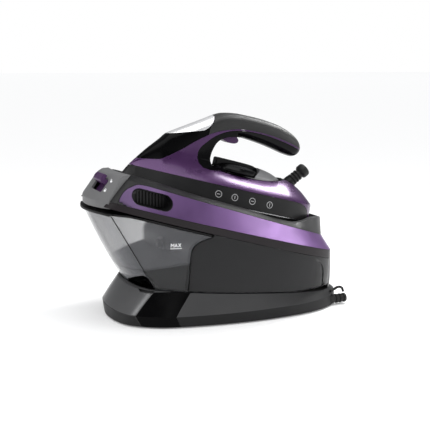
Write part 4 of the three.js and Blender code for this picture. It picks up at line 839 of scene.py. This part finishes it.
up = up_vol()
def up_in(t): return up_vol(t, -20, 0)
def arch(d): return [(-162.8 + d, 150), (-161.8 + d, 163.7 + d * 0.3), (-159.1 + d, 168.3), (-152.9 + d, 176.3 - d * 0.4), (-147.4 + d * 0.7, 180.9 - d * 0.7), (-142.4 + d * 0.4, 183.3 - d), (-133.7, 186.0 - d), (-122, zP(-122) - d - 0.15), (200, zP(200) - d - 0.15), (200, 20)]
def band_region(d):
    pts = catmull(arch(d), 6, closed=True, sharp=(0, 7, 8, 9))
    pts = [p for p in pts]
    top = lambda x: zP(x) - d - 0.15
    pts = [(x, min(z, top(x))) if x > -147 else (x, z) for x, z in pts]
    return prism(pts) - box(120, -42 - d, 0, 300, 42 + d, 300)


region_gap, region0, in_band = band_region(GAP), band_region(0), up_in(2)
OV_A, OV_B, OV_R = (-133.6, 171.4), (-105.6, 163.4), 10.2


def oval(r, y0, y1, n=20):
    dx, dz = OV_B[0] - OV_A[0], OV_B[1] - OV_A[1]
    a = math.atan2(dz, dx)
    pts = []
    for (cx, cz), s in ((OV_B, a - math.pi / 2), (OV_A, a + math.pi / 2)):
        for i in range(n + 1):
            t = s + math.pi * i / n
            pts.append((cx + r * math.cos(t), cz + r * math.sin(t)))
    return prism(pts, y0, y1)


band_seat = {}
for side, s in (("right", -1), ("left", 1)):
    half_box = box(-200, -200 if s < 0 else 0, 0, 200, 0 if s < 0 else 200, 300)
    band = ((up & (region_gap & half_box)) - in_band) - head_cut
    band = band - (oval(OV_R, -120, -20) if s < 0 else oval(OV_R, 20, 120))
    piece(f"side_band_{side}_fine", band, f"side_band_{side}", MAT["purple"])
TRAYO = [(-5.6, 0), (-2, 6), (8, 15), (25, 25), (50, 37), (80, 46), (110, 53), (150, 59), (190, 61.5), (225, 61), (252, 57.5), (274, 49), (288, 38), (296, 24), (299, 0)]
tray_pts = dense(TRAYO)
tray_pts = [(u, -y) for u, y in tray_pts] + tray_pts[1:-1][::-1]
TRAY_W = -13.2
tray_solid = prism_z(tray_pts, TRAY_W, 60, IRON_M)
deck_hollow = up_vol(6.2, -20, 0) & prism_z([(-80, -140), (420, -140), (420, 140), (-80, 140)], -200, TRAY_W - 3, IRON_M)
seat = lambda s: in_band.moved(0.5, -0.5 * s, -0.5) & in_band.moved(-0.5, -0.5 * s, -0.5)
deck = up
for s in (-1, 1):
    deck = deck - ((region0 & box(-200, -200 if s < 0 else 20, 0, 200, -20 if s < 0 else 200, 300)) - seat(s))
deck = deck - head_cut - tray_solid - deck_hollow
deck = deck - oval(OV_R + 2.2, -140, -55) - oval(OV_R + 2.2, 55, 140) - box(-152, -2.9, 187.5, -128, 2.9, 190.5)
piece("deck_cover_fine", deck, "deck_cover", MAT["deck"])
for side, s in (("right", -1), ("left", 1)):
    tub = oval(OV_R + 1.7, *((-100, -58.6) if s < 0 else (58.6, 100))) & up_in(2.6)
    tub = tub - oval(OV_R - 0.5, *((-120, -62) if s < 0 else (62, 120)))
    # moulded ribs stand on the tub's floor
    for k in range(9):
        x = OV_A[0] - 3 + k * 4.3
        z = OV_A[1] + (x - OV_A[0]) * (OV_B[1] - OV_A[1]) / (OV_B[0] - OV_A[0])
        y0, y1 = (-64.4, -61.9) if s < 0 else (61.9, 64.4)
        tub = tub | prism(round_rect(x - 1.0, z - 8.4, x + 1.0, z + 8.4, 0.9, 4), y0, y1)
    piece(f"grip_recess_{side}_fine", tub, f"grip_recess_{side}", MAT["black"])

# ------------------------------------------------------------------ rest mat, boots, feet
mat_out = [(22, -18), (60, -31), (110, -43), (170, -50), (230, -49), (264, -38), (274, -20), (274, 20), (264, 38), (230, 49), (170, 50), (110, 43), (60, 31), (22, 18)]
pad = prism_z(catmull(mat_out, 4, closed=True), TRAY_W + GAP, -9.85, IRON_M)
for k in range(11):
    u = 46 + 20 * k
    pad = pad - box(u, -70, -10.7, u + 3, 70, 0, IRON_M)
piece("rest_mat_fine", pad, "rest_mat", MAT["rubber"])


def boot_profile():
    pts = [(0, 0), (5.9, 0), (6.3, 0.5), (6.3, 11.4), (5.9, 12)]
    h = 12
    for k in range(3):
        pts += [(5.0, h + 0.3), (5.0, h + 2.2), (6.0, h + 2.6), (6.3, h + 3.0), (6.3, h + 5.6), (6.0, h + 6.1)]
        h += 6.3
    return pts + [(5.6, 31), (4.4, 31), (4.2, 29), (0, 29)]


for node, s in (("cord_boot", -1), ("hose_boot", 1)):
    piece(node + "_fine", turned(boot_profile(), (138.7, BOOT_Y * s, BOOT_Z), (1, 0, 0), 40), node, MAT["rubber"])
piece("cord_hook_fine", pipe([(145.4, -72, 20.2), (151, -72, 22), (158.5, -72, 24.8), (164.4, -72, 22.6), (167, -72, 17.4)], 1.9, 16, 8, radii=lambda f: 1.9 - 0.25 * f), "cord_hook", MAT["black"])
for node in ("foot_front_right", "foot_front_left", "foot_rear_right", "foot_rear_left"):
    lo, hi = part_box(node)
    cx, cy = (lo.x + hi.x) * 500 - SX, (lo.y + hi.y) * 500
    piece(node + "_fine", turned([(0, 0), (6.2, 0), (6.4, 0.35), (7.4, 0.35), (7.7, 0), (8.4, 0), (9, 0.5), (8.8, 2.8), (8.5, 3.25), (0, 3.25)], (cx, cy, 0), (0, 0, 1), 40), node, MAT["rubber"])
rocker = [(158.5, 31.6), (166.2, 31.6), (166.9, 34.5), (167.5, 38.2), (167.6, 39), (167.5, 39.8), (166.9, 43.5), (166.2, 46.4), (158.5, 46.4)]
piece("power_switch_fine", prism(rocker, -10.6, 10.6), "power_switch", MAT["gloss"])

# ------------------------------------------------------------------ iron
h_sole = table([(-3, 0.5), (2, 5.5), (10, 11.5), (25, 20.5), (50, 31.5), (80, 40.5), (110, 47.5), (150, 53.5), (190, 56), (225, 55.5), (248, 51.5), (266, 44), (278, 34), (286, 23), (290, 13), (292, 4)])
h_top = table([(-3, 0.3), (9, 1.5), (14, 7), (25, 14.5), (50, 26.5), (80, 36.5), (110, 44), (150, 50.5), (190, 53), (225, 52.5), (248, 48.5), (266, 41), (278, 31), (286, 20), (290, 10.5), (292.5, 3)])
col_top = table([(-3, -7), (2, 2), (9, 14.3), (17, 25), (30, 41), (47, 60), (52, 66.5), (60, 72), (80, 84.5), (100, 97), (114, 106), (122, 110), (134, 113), (148, 115)])
col_half = table([(-3, 0.3), (9, 1), (17, 3.5), (30, 9), (50, 14), (80, 16.5), (110, 17), (148, 16.5)])
dome_top = table([(-3, -7), (9, 13), (17, 19), (40, 28), (80, 37), (120, 43), (200, 43), (237, 42.5), (250, 40), (265, 34), (280, 24), (288, 14), (292.5, 1.5)])
SKIRT = 15


def section(u, pts):
    return [(u, -y, w) for y, w in pts] + [(u, y, w) for y, w in pts[1:-1][::-1]]


def col_section(u, t=0.0, w0=-8.0):
    top, c = max(col_top(u) - t * 1.2, w0 + 0.5), max(col_half(u) - t, 0.3)
    hs, h15 = max(h_sole(u) - 0.5 - t, 0.4), max(h_top(u) - t, 0.35)
    wm = min(SKIRT, w0 + (top - w0) * 0.8)
    pts = [(0, w0), (hs, w0), ((hs + max(h15, c)) / 2, (w0 + wm) / 2), (max(h15, c), wm)]
    shoulder = max(top - c * 0.8, wm + (top - wm) * 0.55)
    flare = min(46, wm + (shoulder - wm) * 0.9)
    for k in range(1, 10):
        f = k / 9
        pts.append((c + (max(h15, c) - c) * (1 - f) ** 1.7, wm + (flare - wm) * f))
    pts.append((c, shoulder))
    for a in (12, 24, 36, 48, 60, 72, 82):
        r = math.radians(a)
        pts.append((c * math.cos(r), shoulder + (top - shoulder) * math.sin(r)))
    pts.append((0, top))
    return section(u, pts)


DOME = catmull([(1, 0), (0.94, 0.12), (0.8, 0.33), (0.6, 0.58), (0.4, 0.8), (0.22, 0.94), (0, 1)], 4)


def dome_section(u, t=0.0, w0=-8.0):
    top = max(dome_top(u) - t, w0 + 0.5)
    hs, h15 = max(h_sole(u) - 0.5 - t, 0.4), max(h_top(u) - t, 0.35)
    wm = min(SKIRT, w0 + (top - w0) * 0.7)
    pts = [(0, w0), (hs, w0), ((hs + h15) / 2, (w0 + wm) / 2), (h15, wm)]
    pts += [(h15 * f, wm + (top - wm) * g) for f, g in DOME[1:-1]] + [(0, top)]
    return section(u, pts)


grip_top = table([(104, 98.5), (116, 106.5), (125, 110.5), (140, 114), (154, 115.3), (180, 116), (208, 114.3), (225, 111), (243, 104), (251, 98), (256.5, 90.5)])
grip_bot = table([(104, 80), (125, 80), (146, 82), (160, 83.8), (190, 82), (213, 79), (232, 76), (243, 75.3), (250, 77.5), (255, 83), (256.5, 86.5)])
grip_half = table([(104, 15.5), (140, 16.5), (215, 16.5), (236, 15.6), (247, 13), (253, 8.8), (256.5, 3.5)])


def grip_section(u, t=0.0):
    hi, lo, h = grip_top(u) - t, grip_bot(u) + t, grip_half(u) - t
    mid, hh = (hi + lo) / 2, (hi - lo) / 2
    pts = []
    for i in range(21):
        a = -math.pi / 2 + math.pi * i / 20
        ca, sa = math.cos(a), math.sin(a)
        pts.append((0 if i in (0, 20) else h * abs(ca) ** 0.86, mid + hh * math.copysign(abs(sa) ** 0.86, sa)))
    return section(u, pts)


def span(knots, step):
    out = []
    for a, b in zip(knots, knots[1:]):
        n = max(1, round((b - a) / step))
        out += [a + (b - a) * i / n for i in range(n)]
    return out + [knots[-1]]


body_us = span([-3, 3, 10, 25, 50, 115, 190, 237, 250], 6) + span([250, 268, 280, 288, 292.5], 2.5)[1:]
col_us = span([-3, 3, 10, 17, 30, 47, 53, 62, 80, 114, 134, 148], 4)
grip_us = span([104, 134, 178, 225], 6) + span([225, 240, 249, 254.5], 2.5)[1:] + [255.4, 256.1, 256.5]
LOOP = [(121, 18), (121, 30), (118.4, 37), (115.2, 46), (115.2, 54), (117, 62), (120.5, 70), (128.5, 77), (140, 81.4), (160, 83.6), (190, 81.9), (213, 78.9), (232, 75.9), (243, 75), (300, 75), (300, 18)]
loop = prism(catmull(LOOP, 6, closed=True, sharp=(0, 13, 14, 15)))
grip_v = loft([grip_section(u) for u in grip_us])
grip_core = loft([grip_section(u, 5) for u in (110, 130, 150, 180, 215, 230, 242)])
upper = (loft([col_section(u) for u in col_us]) | grip_v) - loop
dome = loft([dome_section(u) for u in body_us])
iron_v = upper | dome
core = loft([col_section(u, 3.2, -9) for u in span([16, 47, 62, 90, 114], 6)]) - prism([(116.5, -20), (200, -20), (200, 140), (116.5, 140)])
dome_core = loft([dome_section(u, 3.2, -9) for u in span([9, 40, 90, 150, 200, 240, 266, 281], 8)])


def outline(f, us, t):
    half = [(u, max(f(u) - t, 0.2)) for u in us]
    return [(u, -y) for u, y in half] + half[::-1]


sole_us = span([-3, 3, 10, 25, 50, 110, 190, 248], 5) + span([248, 268, 279, 287, 291], 2)[1:]
sole = prism_z([(u + (3 if u < 0 else -2.4 if u > 288 else 0), y) for u, y in outline(h_sole, sole_us, 2.6)], -9.5, -8.4)
sole = sole | prism_z(outline(h_sole, span([22, 50, 110, 190, 250, 266, 275], 5), 6.4), -9, -5)
for k in range(10):
    for s in (-1, 1):
        u = 36 + 22 * k
        sole = sole - rod((u, s * (h_sole(u) - 12), -12), (u, s * (h_sole(u) - 12), -7), 1.5, 12)
piece("soleplate_fine", sole, "soleplate", MAT["steel"], True)
skirt_region = catmull([(240, 14.85), (253, 13.4), (264, 9.2), (270.6, 2.8), (272.6, -5)], 5) + [(272.6, -12), (-40, -12), (-40, 14.85)]
body_region = catmull([(240.2, 15.2), (253.4, 13.8), (264.5, 9.5), (271, 3), (273, -5)], 5) + [(273, -12), (320, -12), (320, 160), (-40, 160), (-40, 15.2)]
heat = ((iron_v & prism(skirt_region)) - dome_core) - core - box(-10, -3.2, -6.6, 5, 3.2, -2.4)
piece("heat_skirt_fine", heat, "heat_skirt", MAT["heat"], True)
skirt_film = loft([dome_section(u, -0.14) for u in span([110, 150, 190, 220], 5)]) - loft([dome_section(u, 0.3) for u in span([105, 150, 190, 225], 5)])
for k, u in enumerate((124, 147, 173, 200)):
    def circle(r, n=36): return prism([(u + r * math.cos(2 * math.pi * i / n), 3.4 + r * math.sin(2 * math.pi * i / n)) for i in range(n)])
    mark = (skirt_film & circle(4.6)) - circle(3.9)
    piece(f"skirt_mark_{k}", mark, "heat_skirt", MAT["print"], True, keep=False, extra=True)
    tick = prism([(u - 0.4, 1.2), (u + 0.4, 1.2), (u + 0.4, 5.6), (u - 0.4, 5.6)]) if k % 2 else prism([(u - 2.2, 3.0), (u + 2.2, 3.0), (u + 2.2, 3.8), (u - 2.2, 3.8)])
    piece(f"skirt_mark_{k}_in", skirt_film & tick, "heat_skirt", MAT["print"], True, keep=False, extra=True)
CAP = [(30, 66.2), (51.8, 66.2), (97, 81), (105, 89), (111.5, 104.6), (112, 130), (30, 130)]


def liner_v(d):
    pts = [(120 - d, 26 - d), (101 - d, 34 - d), (96.3 - d, 46), (96 - d, 53), (99.2 - d, 59.4 + d), (104.3 - d * .8, 65.5 + d), (110.9 - d * .7, 72.8 + d), (118.3 - d * .5, 78.9 + d), (131.9, 86.7 + d), (150.8, 92.3 + d), (170, 94.4 + d), (190.4, 94.8 + d), (210.8, 93.1 + d), (228.3, 90.9 + d), (246.6, 87.6 + d), (262, 84 + d), (300, 76 + d), (300, 60), (150, 44.7), (127, 44.7), (126, 26 - d)]
    return prism(catmull(pts, 5, closed=True, sharp=(0, 16, 17, 18, 19, 20)))


def above_stripe(d):
    pts = [(112.6 + d, 150), (112.6 + d, 106), (112.1 + d, 104.4), (109.6 + d, 96.2), (105.8 + d, 88.6), (105.5 + d, 84.4), (105.3 + d, 77.1 + d), (113.6, 82 + d), (121.4, 85.7 + d), (131.3, 89.3 + d), (140.1, 92.2 + d), (150, 94.5 + d), (169.2, 96.6 + d), (189.7, 97 + d), (210.1, 95.7 + d), (227.5, 93.6 + d), (245.7, 90.3 + d), (262, 86.5 + d), (300, 78 + d), (300, 150)]
    return prism(catmull(pts, 5, closed=True, sharp=(0, 1, 5, 6, 18, 19)))


trig_slot = box(122.4, -8.6, 60, 158, 8.6, 92.6)
KNOB_U, KNOB_R = 163, 33
knob_well = rod((KNOB_U, 0, 33.4), (KNOB_U, 0, 60), KNOB_R + 1.5, 72)
lower = (upper & liner_v(0)) & box(80, -17.2, 0, 320, 17.2, 120)
lower = (lower - (dome | core)) - grip_core - trig_slot - knob_well
piece("grip_lower_fine", lower, "grip_lower", MAT["gloss"], True)
piece("grip_upper_fine", (((upper & above_stripe(0)) - grip_core) - core) - trig_slot, "grip_upper", MAT["soft"], True)
cap_pts = catmull([(97, 81), (101.4, 84.6), (105, 89), (109, 96.4), (111.5, 104.6)], 5)
cap = ((upper & prism([(30, 66.2), (51.8, 66.2)] + cap_pts + [(112, 130), (30, 130)])) - core) - above_stripe(-GAP)
piece("top_cap_fine", cap, "top_cap", MAT["silver"], True)
nose_v = prism([(-10, 24.6), (17, 25.6), (26, 27), (44.5, 31), (57.2, 39), (67.2, 46.6), (73.9, 52), (81.5, 58.8), (88.8, 65), (97.1, 71.3), (104.6, 76.6), (104.8, 87.6), (101.2, 83.9), (96.5, 80.2), (52, 65.8), (-10, 65.8)])
nose_big = prism([(-10, 24.25), (17, 25.25), (26, 26.65), (44.6, 30.6), (57.4, 38.6), (67.5, 46.2), (74.2, 51.6), (81.8, 58.4), (89.1, 64.6), (97.3, 70.9), (105, 76.3), (105.2, 88.6), (101, 84.6), (96.3, 80.6), (51.9, 66.16), (-10, 66.16)])
piece("nose_cover_fine", (upper & nose_v) - core, "nose_cover", MAT["corner"], True)
cap_big = prism([(-10, 65.85), (51.9, 65.85), (97.1, 80.65), (105.3, 88.8), (111.85, 104.5), (112.35, 130), (-10, 130)])
PLAT_U, PLAT_A, PLAT_B = 181.5, 56, 29
def ell(a, b, n=72): return [(PLAT_U + a * math.cos(2 * math.pi * i / n), b * math.sin(2 * math.pi * i / n)) for i in range(n)]
plat_hole = prism_z(ell(PLAT_A + GAP, PLAT_B + GAP), 30, 80)
HOSE_AT, HOSE = Vector((255, 0, 40.5)), Vector((0.655, 0, 0.757))
def along(d): return HOSE_AT + HOSE * d
hose_hole = rod(along(-12), along(12), 9.2, 48)
heel_cut = prism([(280.3, 29), (286, 19.2), (289.6, 10.6), (290.2, 2), (290.2, -9), (320, -9), (320, 40), (280.3, 40)])
shell = iron_v & prism(body_region)
shell = shell - (liner_v(GAP) & box(90, -17.6, 20, 320, 17.6, 110)) - above_stripe(-GAP) - (nose_big - box(-20, -60, 0, 200, 60, 24)) - cap_big
shell = shell - core - dome_core - plat_hole - hose_hole - grip_core - heel_cut - trig_slot - knob_well
def collar(d): return prism_z([(170 + (73 + d) * math.cos(2 * math.pi * i / 96), (31 + d) * math.sin(2 * math.pi * i / 96)) for i in range(96)], 15, 60)
piece("dial_collar_fine", shell & collar(0), "body_shell", MAT["gloss"], True, keep=False, extra=True)
def foot(d): return prism([(95.8 - d, 53), (96 - d, 44), (99 - d, 37 - d), (105, 32.5 - d), (115, 31.5 - d), (128 + d, 33 - d), (128 + d, 59.6), (99.4 - d, 59.6)])
piece("loop_foot_fine", (shell & foot(0)) - collar(0.05), "body_shell", MAT["gloss"], True, keep=False, extra=True)
piece("body_shell_fine", (shell - collar(0.1)) - foot(0.1), "body_shell", MAT["body"], True, keep=False)
piece("heel_plate_fine", dome & prism([(280.6, 29.6), (286.4, 19.5), (290, 10.8), (290.6, 2), (290.6, -9), (320, -9), (320, 40), (280.6, 40)]), "heel_plate", MAT["black"], True)
plat_profile = catmull([(1, 34.5), (0.985, 36.6), (0.94, 38.5), (0.86, 40.9), (0.74, 43.6), (0.58, 46.1), (0.42, 47.6), (0.25, 48.6), (0.08, 49)], 3)
plat = loft_any([[(u, y, w) for u, y in ell(PLAT_A * f, PLAT_B * f)] for f, w in [(1, 30.6)] + plat_profile])
piece("dial_platform_fine", plat - knob_well - rod((KNOB_U, 0, 20), (KNOB_U, 0, 60), 4.4), "dial_platform", MAT["plat"], True)
disc = turned([(0, 0), (30.5, 0), (KNOB_R - 0.3, 2.0), (KNOB_R, 2.6), (KNOB_R, 4.6), (KNOB_R - 0.5, 5.3), (30, 8.4), (24, 10.4), (18, 11.8), (9, 12.6), (0, 12.8)], (KNOB_U, 0, 34), (0, 0, 1), 96,
              rib=lambda t, k: 1 - (0.006 if k in (3, 4) and int(t / (2 * math.pi) * 96) % 2 else 0))
bar_pts = catmull([(130.6, 38), (130.6, 49.2), (132.6, 50.8), (137, 50.9), (176, 50.4), (188, 49.2), (193, 47), (195.2, 43.6), (195.4, 38)], 4, sharp=(0, 8))
bar = prism(bar_pts, -6.5, 6.5) & rod((KNOB_U, 0, 30), (KNOB_U, 0, 60), KNOB_R, 96)
knob = (disc | bar) | rod((KNOB_U, 0, 24), (KNOB_U, 0, 36), 3.8)
# pointer groove along the bar
knob = knob - box(176, -0.7, 48.4, 192, 0.7, 60)
piece("dial_knob_fine", knob, "dial_knob", MAT["dial"], True)
piece("hose_collar_fine", rod(along(-8), along(1.6), 8.8, 48) - rod(along(-12), along(12), 7.2, 48), "hose_collar", MAT["black"], True)
relief = [(0, -7), (6.4, -7), (6.4, 3)]
for k, (ra, rb) in enumerate([(8.3, 6.2), (8.2, 6.1), (8.1, 6.1)]):
    h = 3.4 + 5.0 * k
    relief += [(ra - 0.3, h), (ra, h + 0.4), (ra, h + 2.2), (ra - 0.3, h + 2.6), (rb, h + 3.0), (rb, h + 4.8)]
relief += [(6.4, 18.6), (8.6, 20), (9.6, 21.4), (9.8, 22.4), (9.8, 27.6), (9.4, 28.8), (8.4, 30), (6.6, 30), (6.2, 27.5), (0, 27.5)]
relief_s = turned(relief, HOSE_AT, HOSE, 48)
piece("strain_relief_fine", relief_s, "strain_relief", MAT["rubber"], True)
trig_pts = catmull([(126.4, 79), (126.4, 90), (132.4, 90), (134.2, 84.2), (151, 83.6), (155, 79.8), (154.6, 76.4), (150.6, 74), (142.6, 73.2), (134.6, 74.6), (129.2, 77)], 5, closed=True, sharp=(0, 1, 2, 3, 4))
piece("trigger_fine", prism(trig_pts, -7.6, 7.6), "trigger", MAT["lilac"], True)

# ------------------------------------------------------------------ looks of the CAD nodes that stay
KEEP = {
    "base_plate": "black", "filler_flap": "black", "tank_dock": "black", "slot_liner": "black", "lock_hook": "steel",
    "boiler_cradle": "steel", "boiler": "alu", "boiler_heater": "steel", "pump": "black", "solenoid_valve": "brass", "control_board": "board",
    "water_pipe": "rubber", "steam_pipe": "brass", "steam_chamber": "alu", "sole_thermostat": "steel", "microswitch": "black", "steam_tube": "rubber",
}
for node, m in KEEP.items():
    ob = NODES[node]
    ob.data.materials.clear()
    ob.data.materials.append(MAT[m])
    ob.data.set_sharp_from_angle(angle=math.radians(30))

# ------------------------------------------------------------------ floor, light
fl = bpy.data.meshes.new("floor")
fl.from_pydata([(-45, -45, 0), (45, -45, 0), (45, 45, 0), (-45, 45, 0)], [], [(0, 1, 2, 3)])
floor = bpy.data.objects.new("floor", fl)
scene.collection.objects.link(floor)
fm, fnt, fbs = new_material("pale_floor")
fno = fnt.nodes.new("ShaderNodeTexNoise")
fno.inputs["Scale"].default_value = 3.0
frm = fnt.nodes.new("ShaderNodeValToRGB")
frm.color_ramp.elements[0].color = (0.86, 0.86, 0.86, 1)
frm.color_ramp.elements[1].color = (0.90, 0.90, 0.90, 1)
fnt.links.new(fno.outputs["Fac"], frm.inputs["Fac"])
fnt.links.new(frm.outputs["Color"], fbs.inputs["Base Color"])
fbs.inputs["Roughness"].default_value = 0.9
fbs.inputs["Specular IOR Level"].default_value = 0.1
fbs.inputs["Emission Color"].default_value = (1, 1, 1, 1)
fbs.inputs["Emission Strength"].default_value = 0.16
fl.materials.append(fm)

world = bpy.data.worlds.new("world")
scene.world = world
world.use_nodes = True
wn, wl = world.node_tree.nodes, world.node_tree.links
wbg = wn["Background"]
wbg.inputs["Color"].default_value = (0.95, 0.97, 1, 1)
wbg.inputs["Strength"].default_value = 0.22
wcam = wn.new("ShaderNodeBackground")
wcam.inputs["Color"].default_value = (1, 1, 1, 1)
wcam.inputs["Strength"].default_value = 1.0
wpath, wmix = wn.new("ShaderNodeLightPath"), wn.new("ShaderNodeMixShader")
wl.new(wpath.outputs["Is Camera Ray"], wmix.inputs["Fac"])
wl.new(wbg.outputs["Background"], wmix.inputs[1])
wl.new(wcam.outputs["Background"], wmix.inputs[2])
wl.new(wmix.outputs["Shader"], wn["World Output"].inputs["Surface"])
scene.view_settings.view_transform = "Standard"


def area(name, loc, at, size, power, size_y=None):
    ld = bpy.data.lights.new(name, "AREA")
    ld.energy = power
    ld.shape = "RECTANGLE"
    ld.size = size
    ld.size_y = size_y or size
    ob = bpy.data.objects.new(name, ld)
    scene.collection.objects.link(ob)
    ob.location = loc
    ob.rotation_euler = (Vector(at) - Vector(loc)).to_track_quat("-Z", "Y").to_euler()
    return ob


sun_d = bpy.data.lights.new("sky", "SUN")
sun_d.energy = 2.4
sun_d.angle = math.radians(70)
sun = bpy.data.objects.new("sky", sun_d)
scene.collection.objects.link(sun)
sun.rotation_euler = (math.radians(12), math.radians(-10), 0)
area("key", (-0.5, -1.3, 0.9), (0, 0, 0.13), 0.5, 1.0, 0.7)
area("left_strip", (-1.3, -0.35, 0.45), (0, 0, 0.12), 0.25, 3, 1.0)
area("rear_soft", (1.4, -1.0, 0.64), (0.05, 0, 0.15), 1.0, 7.5, 0.4)
area("top_right", (0.47, 0.12, 0.62), (0.06, -0.03, 0.16), 0.12, 3.2, 0.3)

# ------------------------------------------------------------------ close
bpy.data.collections.remove(work)
bpy.context.view_layer.update()
